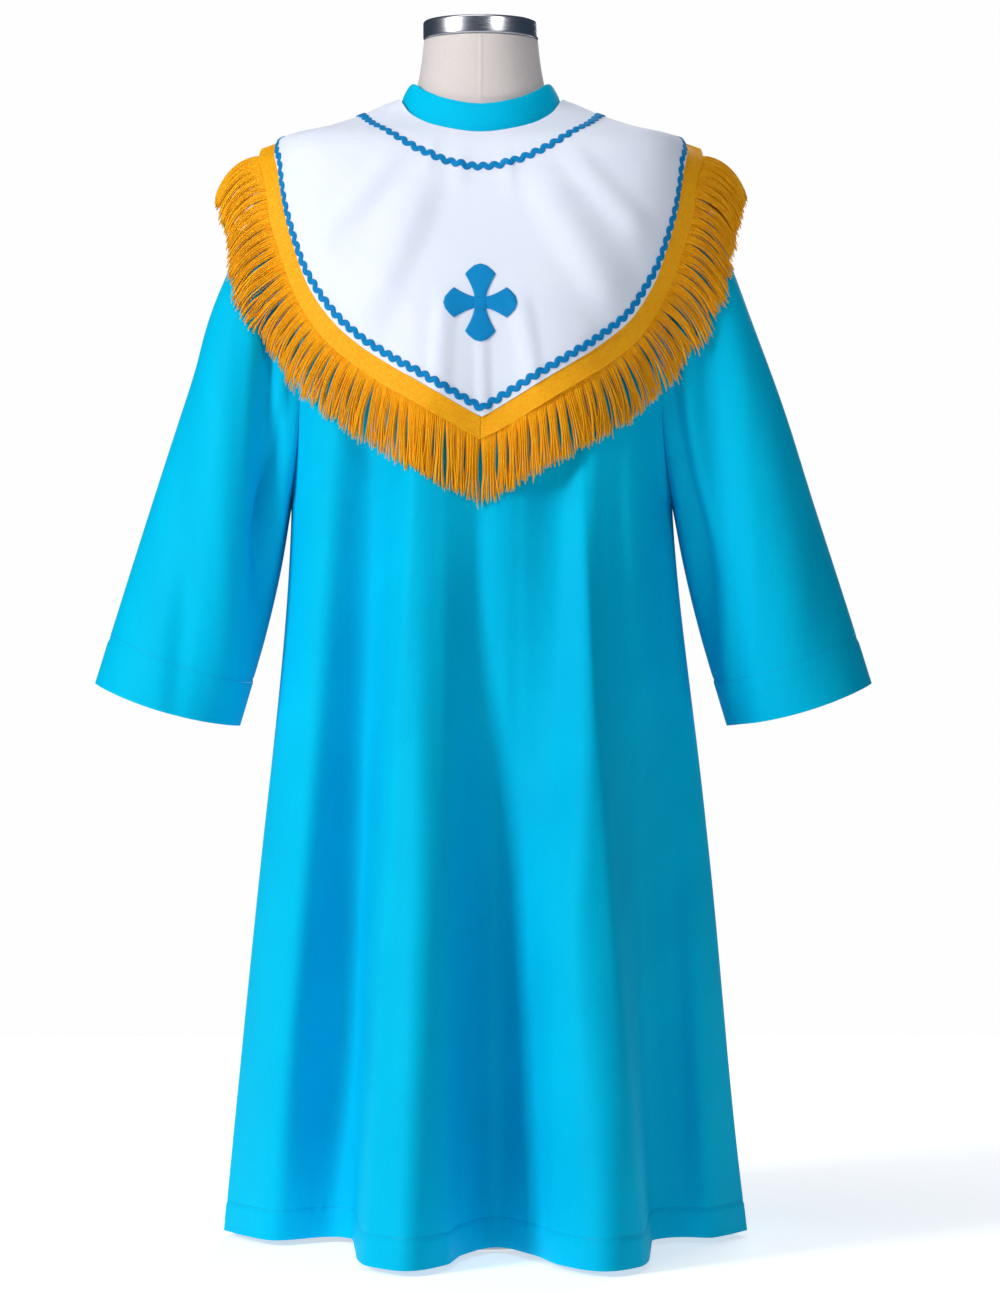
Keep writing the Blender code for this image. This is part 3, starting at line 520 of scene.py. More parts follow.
robe_front, front_grid, front_normals = robe_panel(
    "robe_front", FRONT_WAVES, -1.0, 1.0, 230, 1, FRONT_CREASES
)
robe_left, left_grid, left_normals = robe_panel(
    "robe_back_left", BACK_WAVES, 0.0, 1.0, 96, -1, BACK_CREASES, centre_side=1
)
robe_right, right_grid, right_normals = robe_panel(
    "robe_back_right", BACK_WAVES, -1.0, 0.0, 96, -1, BACK_CREASES, centre_side=-1
)

# Top-stitching: lock stitches of a matching polyester thread, 3 mm long, round the hem and the cuffs.
# They lie in the slight groove that they pull into the cloth.
STITCH = 0.0030
STITCH_PITCH = 0.0038
STITCH_WIDTH = 0.0008
STITCH_HEIGHT = 0.00056
thread = finish_named(
    "turquoise_polyester_thread", Base_Color=linear("00b0e0"), Roughness=0.45, Specular_IOR_Level=0.2
)


def read_at(places, run, table):
    """Vectors of a table, read at places along its run."""
    return np.stack([np.interp(places, run, table[:, k]) for k in range(3)], -1)


def stitched(shape, line, normals):
    """Adds short stitches along a line of points on the cloth."""
    run = lengths_along(line, 0)
    sized = Matrix.Diagonal((STITCH, STITCH_WIDTH, STITCH_HEIGHT, 1.0))
    lying = Matrix.Rotation(math.radians(90), 4, "Y")
    for start in np.arange(STITCH_PITCH, run[-1] - STITCH_PITCH, STITCH_PITCH):
        first, last = (Vector(read_at(at, run, line)) for at in (start, start + STITCH))
        out = Vector(read_at(start, run, normals)).normalized()
        along = (last - first).normalized()
        beside = out.cross(along).normalized()
        turned = Matrix((along, beside, out)).transposed().to_4x4()
        bmesh.ops.create_cone(
            shape, cap_ends=True, segments=6, radius1=0.5, radius2=0.5, depth=1.0,
            matrix=Matrix.Translation((first + last) / 2) @ turned @ sized @ lying,
        )


hem_stitches = bmesh.new()
for grid, normals in ((front_grid, front_normals), (left_grid, left_normals), (right_grid, right_normals)):
    heights = grid[:, :, 2].mean(axis=1)
    row = int(np.argmin(np.abs(heights - HEM_HEIGHT - HEM_TURN_UP)))
    stitched(hem_stitches, grid[row], normals[row])
hem_stitching = placed("hem_stitching", hem_stitches, thread)
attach(hem_stitching, "root")

# The sleeves: wide, straight-cut tubes of the same gabardine, set into the armholes and hanging free.
# One deep trough runs down each at the front and one behind; the cuff is turned up 50 mm.
CUFF_CENTRE = (0.3280, 0.553)
# The wearer's left sleeve hangs this much further out, and the right one less
CUFF_SHIFT = 0.0025
CUFF_HALF_WIDTH = 0.0750
CUFF_HALF_DEPTH = 0.072
CUFF_TILT = 0.022
CUFF_DIP = 0.007
CUFF_TURN_UP = 0.050
CUFF_RELIEF = (0.0006, 0.0014, 0.0009, 0.0020)
SLEEVE_FALL = 17.2
# Which way the sleeve leaves the armhole at its lower and upper edge, how far that spreads forward and
# back, and how strongly the cloth keeps to it there and at the cuff
LEAVE_LOW = np.array((0.245, 0.0, -0.97))
LEAVE_TOP = np.array((0.36, 0.0, -0.31))
LEAVE_SPREAD = 0.24
LEAVE_PULL = (0.06, 0.20)
ARRIVE_PULL = 0.53
SLEEVE_COLUMNS = 121
SLEEVE_ROWS = 130
SLEEVE_FOLDS = (
    # turn at the top, turn at the cuff, half width, depth inward, strongest at, reach
    (98.0, 168.0, 28.0, 0.012, 0.42, 0.58),
    (262.0, 198.0, 28.0, 0.024, 0.50, 0.60),
    (300.0, 284.0, 16.0, 0.006, 0.50, 0.45),
    (236.0, 250.0, 14.0, -0.005, 0.55, 0.45),
)
# Creases on the sleeves' fronts, as distances from the robe's middle line
LEFT_SLEEVE_CREASES = (
    # from x, from height, to x, to height, half width inside, half width outside, depth
    (0.228, 1.060, 0.246, 0.560, 0.030, 0.042, -0.013),
    (0.306, 1.060, 0.320, 0.500, 0.046, 0.044, 0.004),
    (0.262, 0.720, 0.268, 0.500, 0.016, 0.018, -0.004),
)
RIGHT_SLEEVE_CREASES = (
    (0.210, 1.060, 0.224, 0.640, 0.018, 0.024, -0.021),
    (0.262, 1.060, 0.266, 0.500, 0.032, 0.044, 0.009),
    (0.300, 0.700, 0.318, 0.500, 0.018, 0.018, -0.003),
)


def sleeve_path(side, turn, share):
    """Points of the plain sleeve: share 0 at the armhole, 1 at the cuff. Turn 90 is its front."""
    edge_angle, edge_height = armhole_place(turn)
    hole_angle, hole_height = armhole_place(turn, 0.97)
    sided = [angle if side > 0 else 180.0 - angle for angle in (edge_angle, hole_angle)]
    edge = body_face(sided[0], edge_height)
    into_hole = unit(body_face(sided[1], hole_height) - edge)
    start = edge + (into_hole + body_normal(sided[0], edge_height)) * SEAM_GAP
    swing = np.radians(turn)
    across, forward = np.cos(swing), np.sin(swing)
    end = np.stack((
        side * (CUFF_CENTRE[0] + CUFF_HALF_WIDTH * across) + CUFF_SHIFT,
        -CUFF_HALF_DEPTH * forward,
        CUFF_CENTRE[1] + CUFF_TILT * across - CUFF_DIP * forward ** 2,
    ), -1)
    top = ((1 + across) / 2)[..., None]
    leave = LEAVE_LOW * (1 - top) + LEAVE_TOP * top
    leave[..., 1] -= LEAVE_SPREAD * forward
    pull = LEAVE_PULL[0] + (LEAVE_PULL[1] - LEAVE_PULL[0]) * top
    leave = leave * pull * np.array((side, 1.0, 1.0))
    fall = math.radians(SLEEVE_FALL)
    arrive = np.array((side * math.sin(fall), 0.0, -math.cos(fall))) * ARRIVE_PULL
    t = share[..., None]
    return (
        start * (1 + 2 * t) * (1 - t) ** 2 + end * t * t * (3 - 2 * t)
        + leave * t * (1 - t) ** 2 - arrive * t * t * (1 - t)
    )


cuff_stitches = bmesh.new()
sleeves = {}
for side, name, creases in (
    (1, "sleeve_left", LEFT_SLEEVE_CREASES), (-1, "sleeve_right", RIGHT_SLEEVE_CREASES),
):
    share, turn = np.meshgrid(
        np.linspace(0.0, 1.0, SLEEVE_ROWS) ** 1.1, np.linspace(180.0, 540.0, SLEEVE_COLUMNS), indexing="ij"
    )
    grid = sleeve_path(side, turn, share)
    inward = -grid_normals(grid, -side)
    for top_turn, cuff_turn, half_width, depth, strongest, reach in SLEEVE_FOLDS:
        middle = top_turn + (cuff_turn - top_turn) * share
        off = (turn - middle + 180.0) % 360.0 - 180.0
        amount = bell(off / half_width) * bell((share - strongest) / reach)
        amount[0] = 0.0
        grid = grid + inward * (depth * amount)[..., None]
    in_front = np.clip(inward[..., 1] * 3.0, 0.0, 1.0) * np.clip(share / 0.12, 0.0, 1.0)
    creased = in_front * crease_depth(grid[..., 0] * side, grid[..., 2], creases)
    grid = grid - inward * creased[..., None]
    outward = grid_normals(grid, -side)
    from_cuff = lengths_along(grid, 0)
    from_cuff = from_cuff[-1] - from_cuff - CUFF_TURN_UP
    outer = grid + outward * turned_edge(from_cuff, *CUFF_RELIEF)[..., None]
    outer[:, -1] = outer[:, 0]
    outward[:, 0] = outward[:, -1] = unit(outward[:, 0] + outward[:, -1])
    piece = cloth(name, outer, outer - outward * ROBE_CLOTH, turquoise)
    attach(piece, "root")
    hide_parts(name)
    sleeves[name] = piece
    row = int(np.argmin(np.abs(from_cuff.mean(axis=1))))
    stitched(cuff_stitches, outer[row], outward[row])
cuff_stitching = placed("cuff_stitching", cuff_stitches, thread)
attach(cuff_stitching, "root")

# The collar: a standing band of the same gabardine, two layers over a stiffener, sewn into the
# neckline. It leans in a little and its ends meet at the centre back.
COLLAR_GAP = 0.0013
COLLAR_CLOTH = 0.0022
COLLAR_LEAN_SIDE = 0.0085
COLLAR_LEAN_FRONT = 0.012
COLLAR_LEAN_BACK = 0.006
COLLAR_RISE_SIDE = 0.0175
COLLAR_RISE_FRONT = 0.0335
COLLAR_SWELL = 0.0009
COLLAR_ROUNDING = 0.0007


def at_back(grid):
    """Ends of a piece that opens at the centre back, each on its own side of that line."""
    grid[:, 0, 0] = SEAM_GAP / 2
    grid[:, -1, 0] = -SEAM_GAP / 2
    return grid


angles = np.linspace(-90.0, 270.0, 241)
seat = body_face(angles, neckline_height(angles))
deep = np.where(np.sin(np.radians(angles)) >= 0, NECK_HALF_DEPTH, NECK_BACK_DEPTH)
plan_turn = np.arctan2(-seat[:, 1] / deep, seat[:, 0] / NECK_HALF_WIDTH)
front, behind = np.maximum(np.sin(np.radians(angles)), 0.0), np.maximum(-np.sin(np.radians(angles)), 0.0)
rise = COLLAR_RISE_SIDE + (COLLAR_RISE_FRONT - COLLAR_RISE_SIDE) * front ** 2
lean_in = COLLAR_LEAN_SIDE + (COLLAR_LEAN_FRONT - COLLAR_LEAN_SIDE) * front ** 2
lean_in = lean_in + (COLLAR_LEAN_BACK - COLLAR_LEAN_SIDE) * behind ** 2
share = np.linspace(0.0, 1.0, 13)[:, None]
faces = []
for inset, swell in ((COLLAR_GAP, COLLAR_SWELL), (COLLAR_GAP + COLLAR_CLOTH, 0.0)):
    rounded = COLLAR_ROUNDING * np.clip((share - 0.85) / 0.15, 0.0, 1.0) ** 2 * (1 if swell else -1)
    lean = inset + lean_in * share - swell * np.sin(np.pi * share) + rounded
    across = (NECK_HALF_WIDTH - lean) * np.cos(plan_turn)
    forward = (deep - lean) * np.sin(plan_turn)
    faces.append(at_back(np.stack((across, -forward, seat[:, 2] + rise * share), -1)))
collar = cloth("collar", faces[0], faces[1], turquoise)
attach(collar, "root")
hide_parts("collar")

# The cape: white gabardine cut nearly in a circle, pointed in front and behind. It is caught in the
# neck seam and lies over the shoulders in soft radial folds, with small puckers at the neck.
CAPE_LIFT = 0.0026
CAPE_NECK_LIFT = 0.0006
CAPE_CLOTH = 0.0015
CAPE_COLUMNS = 481
CAPE_ROWS = 56
CAPE_EDGE = np.array((
    # angle from the side, height
    (0.0, 1.1352), (20.0, 1.100), (29.0, 1.043), (38.5, 0.980), (47.0, 0.946), (57.0, 0.919),
    (74.5, 0.879), (90.0, 0.844),
))
CAPE_FRONT_CREASES = (
    # from x, from height, to x, to height, half width left, half width right, depth
    (-0.045, 1.110, -0.130, 0.900, 0.040, 0.030, 0.0060),
    (0.045, 1.110, 0.150, 0.930, 0.030, 0.040, 0.0060),
    (-0.075, 1.120, -0.175, 1.010, 0.022, 0.022, 0.0040),
    (0.080, 1.120, 0.175, 1.020, 0.022, 0.022, 0.0040),
    (-0.036, 0.980, -0.045, 0.850, 0.014, 0.018, 0.0030),
    (0.036, 0.980, 0.060, 0.860, 0.018, 0.014, 0.0030),
    (-0.014, 1.175, -0.026, 1.060, 0.007, 0.007, 0.0028),
    (0.004, 1.175, 0.004, 1.075, 0.006, 0.007, 0.0024),
    (0.020, 1.175, 0.032, 1.060, 0.007, 0.008, 0.0028),
    (-0.034, 1.175, -0.060, 1.080, 0.007, 0.009, 0.0018),
    (0.000, 0.945, 0.004, 0.820, 0.010, 0.010, 0.0024),
)
CAPE_BACK_CREASES = (
    # from x, from height, to x, to height, half width left, half width right, depth
    (-0.050, 1.120, -0.135, 0.920, 0.034, 0.030, 0.0055),
    (0.050, 1.120, 0.125, 0.900, 0.028, 0.036, 0.0055),
    (-0.020, 1.090, -0.035, 0.860, 0.018, 0.014, 0.0030),
    (0.085, 1.110, 0.170, 1.000, 0.024, 0.022, 0.0035),
)
white = gabardine("white_gabardine", "eef2fd", "e4eaf8", 0.6, 0.05)


def from_side(angle):
    """The angle measured from the nearer side, 0 to 90."""
    return np.abs((angle + 90.0) % 180.0 - 90.0)


def cape_face(angle, share, outward):
    """Points over the shoulders: share 0 at the neckline, 1 at the cape's edge."""
    top = neckline_height(angle)
    height = top + (through(CAPE_EDGE, from_side(angle), 1) - top) * share
    point, normal = body_face(angle, height), body_normal(angle, height)
    x, z = point[..., 0], point[..., 2]
    facing = np.clip(np.abs(normal[..., 1]) * 2.0 - 0.4, 0.0, 1.0)
    rising = np.clip(share / 0.16, 0.0, 1.0)
    outward = outward + (CAPE_NECK_LIFT - CAPE_LIFT) * (1 - rising * rising * (3 - 2 * rising))
    folds = np.where(
        point[..., 1] < 0, crease_depth(x, z, CAPE_FRONT_CREASES), crease_depth(x, z, CAPE_BACK_CREASES)
    )
    folds = folds * facing * (1 - bell(share / 0.14))
    return point + normal * (outward + folds)[..., None], normal


angles = np.linspace(-90.0, 270.0, CAPE_COLUMNS)
shares = np.linspace(0.0, 1.0, CAPE_ROWS) ** 1.25
share, angle = np.meshgrid(shares, angles, indexing="ij")
cape_outer, cape_normals = cape_face(angle, share, CAPE_LIFT + CAPE_CLOTH)
cape_outer = at_back(cape_outer)
cape_inner = at_back(cape_outer - grid_normals(cape_outer) * CAPE_CLOTH)
cape = cloth("cape", cape_outer, cape_inner, white)
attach(cape, "root")
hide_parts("cape")

# Rickrack: a woven zigzag braid of blue polyester, 6 mm wide with an 11.4 mm wave, sewn down along
# its middle. One ring runs round the neck, the other just inside the cape's edge.
RICKRACK_WAVE = 0.0114
RICKRACK_SWING = 0.0019
RICKRACK_WIDTH = 0.0060
RICKRACK_THICKNESS = 0.0012
RICKRACK_FROM_NECK = 0.043
RICKRACK_FROM_EDGE = 0.0080
TRIM_GAP = 0.0002
STATIONS_A_WAVE = 12
RICKRACK_PROFILE = (
    # place across the braid, share of its thickness
    (-0.5, 0.35), (-0.42, 0.8), (-0.15, 1.0), (0.15, 1.0), (0.42, 0.8), (0.5, 0.35),
)
# Multiplies places in metres, for bands that lie 1 mm apart
BANDS_A_MM = 314.0


def braid(name, hex_colour, shade_hex, pitch_mm):
    """Flat woven polyester braid: close raised wales across it, matt with a slight gleam on each. The gleam
    is partly its own slight shine and partly painted: the colour is lighter on each wale's crest as a
    painted highlight, and darker between the wales as painted shade.
    """
    material = finish_named(name, Roughness=0.6, Specular_IOR_Level=0.15)
    tree = material.node_tree
    wales = bands(tree, stretched(tree, threads_of(tree), (BANDS_A_MM / pitch_mm,) * 3, 35.0), 1.2)
    # Painted highlight and shade: the colour follows the wales, lighter on their crests and darker between
    # them.
    feed(tree, "Base Color", mixed(tree, shade_hex, hex_colour, wales))
    raised(tree, 0.4, weighed(tree, noise(tree, threads_of(tree), 420.0), 0.6, wales))
    return material


blue_braid = braid("blue_rickrack_braid", "0090d0", "007cbc", 1.0)


def tree_of(*pieces):
    """A search tree over the faces of finished pieces."""
    points, polygons = [], []
    for piece in pieces:
        first = len(points)
        points += [vert.co.copy() for vert in piece.data.vertices]
        polygons += [[first + k for k in face.vertices] for face in piece.data.polygons]
    return BVHTree.FromPolygons(points, polygons)


on_cape = tree_of(cape)


def pressed_on(tree, point, normal, clearance):
    """Brings a point to a set distance above the piece in the tree."""
    hit = tree.ray_cast(point + normal * 0.02, -normal, 0.05)[0]
    return (hit or point) + normal * clearance


def cape_line(distance, from_edge):
    """Points and normals along the cape, at one distance from its neckline or its edge."""
    run = lengths_along(cape_outer, 0)
    line, normals = [], []
    along = unit(np.gradient(cape_outer[-1], axis=0))
    down = unit(cape_outer[-1] - cape_outer[-3])
    slant = 1 / np.clip(np.linalg.norm(np.cross(along, down), axis=-1), 0.5, 1.0)
    for k in range(CAPE_COLUMNS):
        at = run[-1, k] - distance * slant[k] if from_edge else distance
        line.append(read_at(at, run[:, k], cape_outer[:, k]))
        normals.append(read_at(at, run[:, k], cape_normals[:, k]))
    return np.array(line), unit(np.array(normals))


def spaced(line, normals, count):
    """The same line as evenly spaced points, with the normal and the direction across it at each."""
    run = lengths_along(line, 0)
    at = np.linspace(0.0, run[-1], count)
    points, out = read_at(at, run, line), unit(read_at(at, run, normals))
    across = unit(np.cross(out, np.gradient(points, axis=0)))
    for k in (0, -1):
        across[k, 0] = 0.0
        across[k] /= np.dot(across[k], across[k])
    return points, out, across


for name, distance, from_edge in (
    ("rickrack_neck", RICKRACK_FROM_NECK, False), ("rickrack_edge", RICKRACK_FROM_EDGE, True),
):
    line, normals = cape_line(distance, from_edge)
    waves = round(lengths_along(line, 0)[-1] / RICKRACK_WAVE)
    points, out, across = spaced(line, normals, waves * STATIONS_A_WAVE + 1)
    phase = np.linspace(0.0, waves * math.tau, len(points))
    swing = RICKRACK_SWING * np.sin(phase)
    lean = RICKRACK_SWING * math.tau / RICKRACK_WAVE * np.cos(phase)
    outer, inner = [], []
    for place, high in RICKRACK_PROFILE:
        top_row, low_row = [], []
        for k in range(len(points)):
            tangent = np.cross(across[k], out[k])
            turned = unit(across[k] - tangent * lean[k] * 0.75)
            spot = points[k] + across[k] * swing[k] + turned * RICKRACK_WIDTH * place
            normal = Vector(out[k])
            low = pressed_on(on_cape, Vector(spot), normal, TRIM_GAP)
            low_row.append(low)
            top_row.append(low + normal * RICKRACK_THICKNESS * high)
        outer.append(top_row)
        inner.append(low_row)
    piece = cloth(name, np.array(outer), np.array(inner), blue_braid)
    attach(piece, "root")
    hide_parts(name)

# The cross: four flared arms with bowed ends, cut in one piece from blue twill backed with felt and
# fused to the cape's front.
CROSS_HEIGHT = 0.0795
CROSS_WIDTH = 0.0745
CROSS_CENTRE_HEIGHT = 0.959
CROSS_WAIST = 0.0118
CROSS_ARM_END = 0.0308
CROSS_END_BOW = 0.0108
CROSS_THICKNESS = 0.0016
CROSS_ARM_ROWS = 16
# The cross is laid on the cape from this far in front of the robe's middle
CROSS_LAID_FROM = 0.14
cross_felt = braid("blue_twill_applique", "0090d0", "0084c4", 1.2)

cross_shape = bmesh.new()
half_waist = CROSS_WAIST / 2
corners = {}
for corner in ((-1, -1), (1, -1), (1, 1), (-1, 1)):
    corners[corner] = cross_shape.verts.new((corner[0] * half_waist, corner[1] * half_waist, 0.0))
cross_shape.faces.new(corners.values())
for k in range(4):
    swing = math.radians(90 * k)
    along = Vector((math.cos(swing), math.sin(swing), 0.0))
    beside = Vector((-along.y, along.x, 0.0))
    reach = (CROSS_WIDTH if k % 2 == 0 else CROSS_HEIGHT) / 2
    pair = sorted(corners.values(), key=lambda v: -(v.co @ along))[:2]
    pair.sort(key=lambda v: v.co @ beside)
    last = None
    for row in range(1, CROSS_ARM_ROWS + 1):
        share = row / CROSS_ARM_ROWS
        corner_reach = half_waist + (reach - CROSS_END_BOW - half_waist) * share
        half = half_waist + (CROSS_ARM_END / 2 - half_waist) * share ** 1.4
        fresh = []
        for place in (-1.0, -0.8, -0.4, 0.0, 0.4, 0.8, 1.0):
            bow = CROSS_END_BOW * (1 - place * place) * share ** 2
            fresh.append(cross_shape.verts.new(along * (corner_reach + bow) + beside * half * place))
        if last is None:
            cross_shape.faces.new((pair[0], *fresh, pair[1]))
        else:
            for a in range(6):
                cross_shape.faces.new((last[a], fresh[a], fresh[a + 1], last[a + 1]))
        last = fresh
bmesh.ops.triangulate(cross_shape, faces=[face for face in cross_shape.faces if len(face.verts) > 4])
weave = cross_shape.loops.layers.uv.new("threads")
rim_layer = cross_shape.verts.layers.int.new("rim")
for face in cross_shape.faces:
    for loop in face.loops:
        loop[weave].uv = loop.vert.co.xy
for edge in cross_shape.edges:
    if edge.is_boundary:
        for vert in edge.verts:
            vert[rim_layer] = 1
made = bmesh.ops.extrude_face_region(cross_shape, geom=cross_shape.faces[:], use_keep_orig=True)
upper = {item for item in made["geom"] if isinstance(item, bmesh.types.BMVert)}
forward = Vector((0.0, -1.0, 0.0))
for vert in cross_shape.verts:
    ahead = Vector((vert.co.x, -CROSS_LAID_FROM, CROSS_CENTRE_HEIGHT + vert.co.y))
    low = pressed_on(on_cape, ahead, forward, TRIM_GAP)
    high = CROSS_THICKNESS * (0.55 if vert[rim_layer] else 1.0)
    vert.co = low + forward * high if vert in upper else low
cross = placed("cross", cross_shape, cross_felt, crisp=70.0)
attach(cross, "root")
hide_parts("cross")

# The fringe: two lengths of gold rayon fringe, sewn under the cape's edge and mitred at the points.
# Each is a ribbed woven header, 20.5 mm wide, from which bunches of twisted thread hang 66 mm.
HEADER_WIDTH = 0.0205
HEADER_THICKNESS = 0.0018
HEADER_GAP = 0.0003
HEADER_RIBS = 9
HEADER_RIB_HEIGHT = 0.00022
HEADER_SINK = 0.0006
LOCK_LENGTH = 0.066
LOCK_PITCH = 0.0106
FRINGE_CLEARANCE = 0.0046
FRINGE_FAN = 6.0
FLOW_POINTS = 11
THREADS_A_LOCK = 14
THREAD_RADIUS = 0.00070
THREAD_SIDES = 4
THREAD_SIDE = 0.0011
# Share of the way down a thread, and its thickness there
THREAD_TAPER = ((0.0, 0.08, 0.8, 0.92, 1.0), (0.7, 1.0, 1.0, 1.1, 0.5))
HEADER_OVERLAP = 0.30
# How unevenly the locks hang: their sway and the spread of their lengths, as shares of pitch and length
LOCK_SWAY = 0.16
LOCK_SPREAD = 0.03
# Least and most that a lock closes up halfway down, and how far it opens again at its tips
LOCK_CLOSING = (0.10, 0.34)
TIP_FLARE = 0.30
# Threads lie in three layers, this far apart, times a share that differs from lock to lock
LAYER_GAP = 0.0011
LAYER_SHARES = (0.8, 1.2)
LOCK_BULGE = 0.0012
LOCK_HOLLOW = 0.0064
# Middle and spread of the threads' lengths, and how far their tips stray
THREAD_LENGTHS = (0.985, 0.035)
THREAD_STRAY = 0.13
FRINGE_HANG = np.array((
    # header's height, share of its lean away from the body that the threads keep there, and at their tips
    (0.800, 0.00, 0.00), (0.860, 0.06, 0.00), (0.885, 0.30, 0.08), (0.920, 0.60, 0.26), (0.960, 0.72, 0.32),
    (1.030, 0.84, 0.34), (1.100, 0.90, 0.30), (1.150, 0.92, 0.28),
))
# Between these heights the header turns towards level, with this drop and by up to this share
SHOULDER_FLAT = (1.070, 1.130)
SHOULDER_DROP = 0.22
SHOULDER_SHARE = 0.85


def rayon(name, hex_colour, shade_hex, twist_mm):
    """Rayon: bright twisted filament, so each thread gleams along its twist. The gleam is painted into its
    colour: lighter along the twist's raised ridges as a painted highlight, darker between them as painted
    shade, with a random tone of its own over that.
    """
    material = finish_named(name, Roughness=0.5, Specular_IOR_Level=0.15)
    tree = material.node_tree
    twist = bands(tree, stretched(tree, threads_of(tree), (BANDS_A_MM / twist_mm,) * 3, 55.0), 0.6)
    place = add(tree, "ShaderNodeTexCoord").outputs["Object"]
    # Painted highlight and shade along the twist, mixed with the thread's own random tone.
    painted_light_and_tone = ranged(tree, weighed(tree, twist, 0.45, noise(tree, place, 240.0)), from_low=0.45)
    feed(tree, "Base Color", mixed(tree, shade_hex, hex_colour, painted_light_and_tone))
    raised(tree, 0.5, twist)
    return material


gold_header = rayon("gold_rayon_header", "ffbc1a", "ffa408", 1.6)
gold_thread = rayon("gold_rayon_thread", "ffc21a", "ffa000", 1.5)
on_robe = tree_of(robe_front, robe_left, robe_right, *sleeves.values())


def laid_on(point, normal, clearance):
    """Moves a point along a normal, then square to what it meets, until it lies clear of the robe."""
    reach = 0.12
    hit = on_robe.ray_cast(point + normal * reach, -normal, reach + clearance)[0]
    if hit:
        point = hit + normal * clearance
    for _ in range(3):
        nearest, _, _, distance = on_robe.find_nearest(point)
        if distance < clearance:
            point = point + (point - nearest).normalized() * (clearance - distance)
    return point


def fanned(direction, point):
    """Holds back a direction's sweep round the shoulder, so that locks from front and back stay apart."""
    sweep = min(abs(direction.y), abs(point.y) * FRINGE_FAN)
    return Vector((direction.x, math.copysign(sweep, direction.y), direction.z)).normalized()


def smoothed(directions, reach=5):
    """Evens out directions along the fringe, so that neighbouring locks run alongside each other."""
    windows = [directions[max(k - reach, 0):k + reach + 1] for k in range(len(directions))]
    return [sum(window, Vector()).normalized() for window in windows]


def header_outward(points, normals, k):
    """Square to the cape's edge and away from it, mitred where the fringe ends."""
    sides = []
    if k > 0:
        sides.append(normals[k].cross(points[k] - points[k - 1]).normalized())
    if k < len(points) - 1:
        sides.append(normals[k].cross(points[k + 1] - points[k]).normalized())
    if len(sides) == 1:
        level = Vector((0.0, sides[0].y, sides[0].z))
        return level / level.length_squared
    middle = (sides[0] + sides[1]).normalized()
    return middle / middle.dot(sides[0])


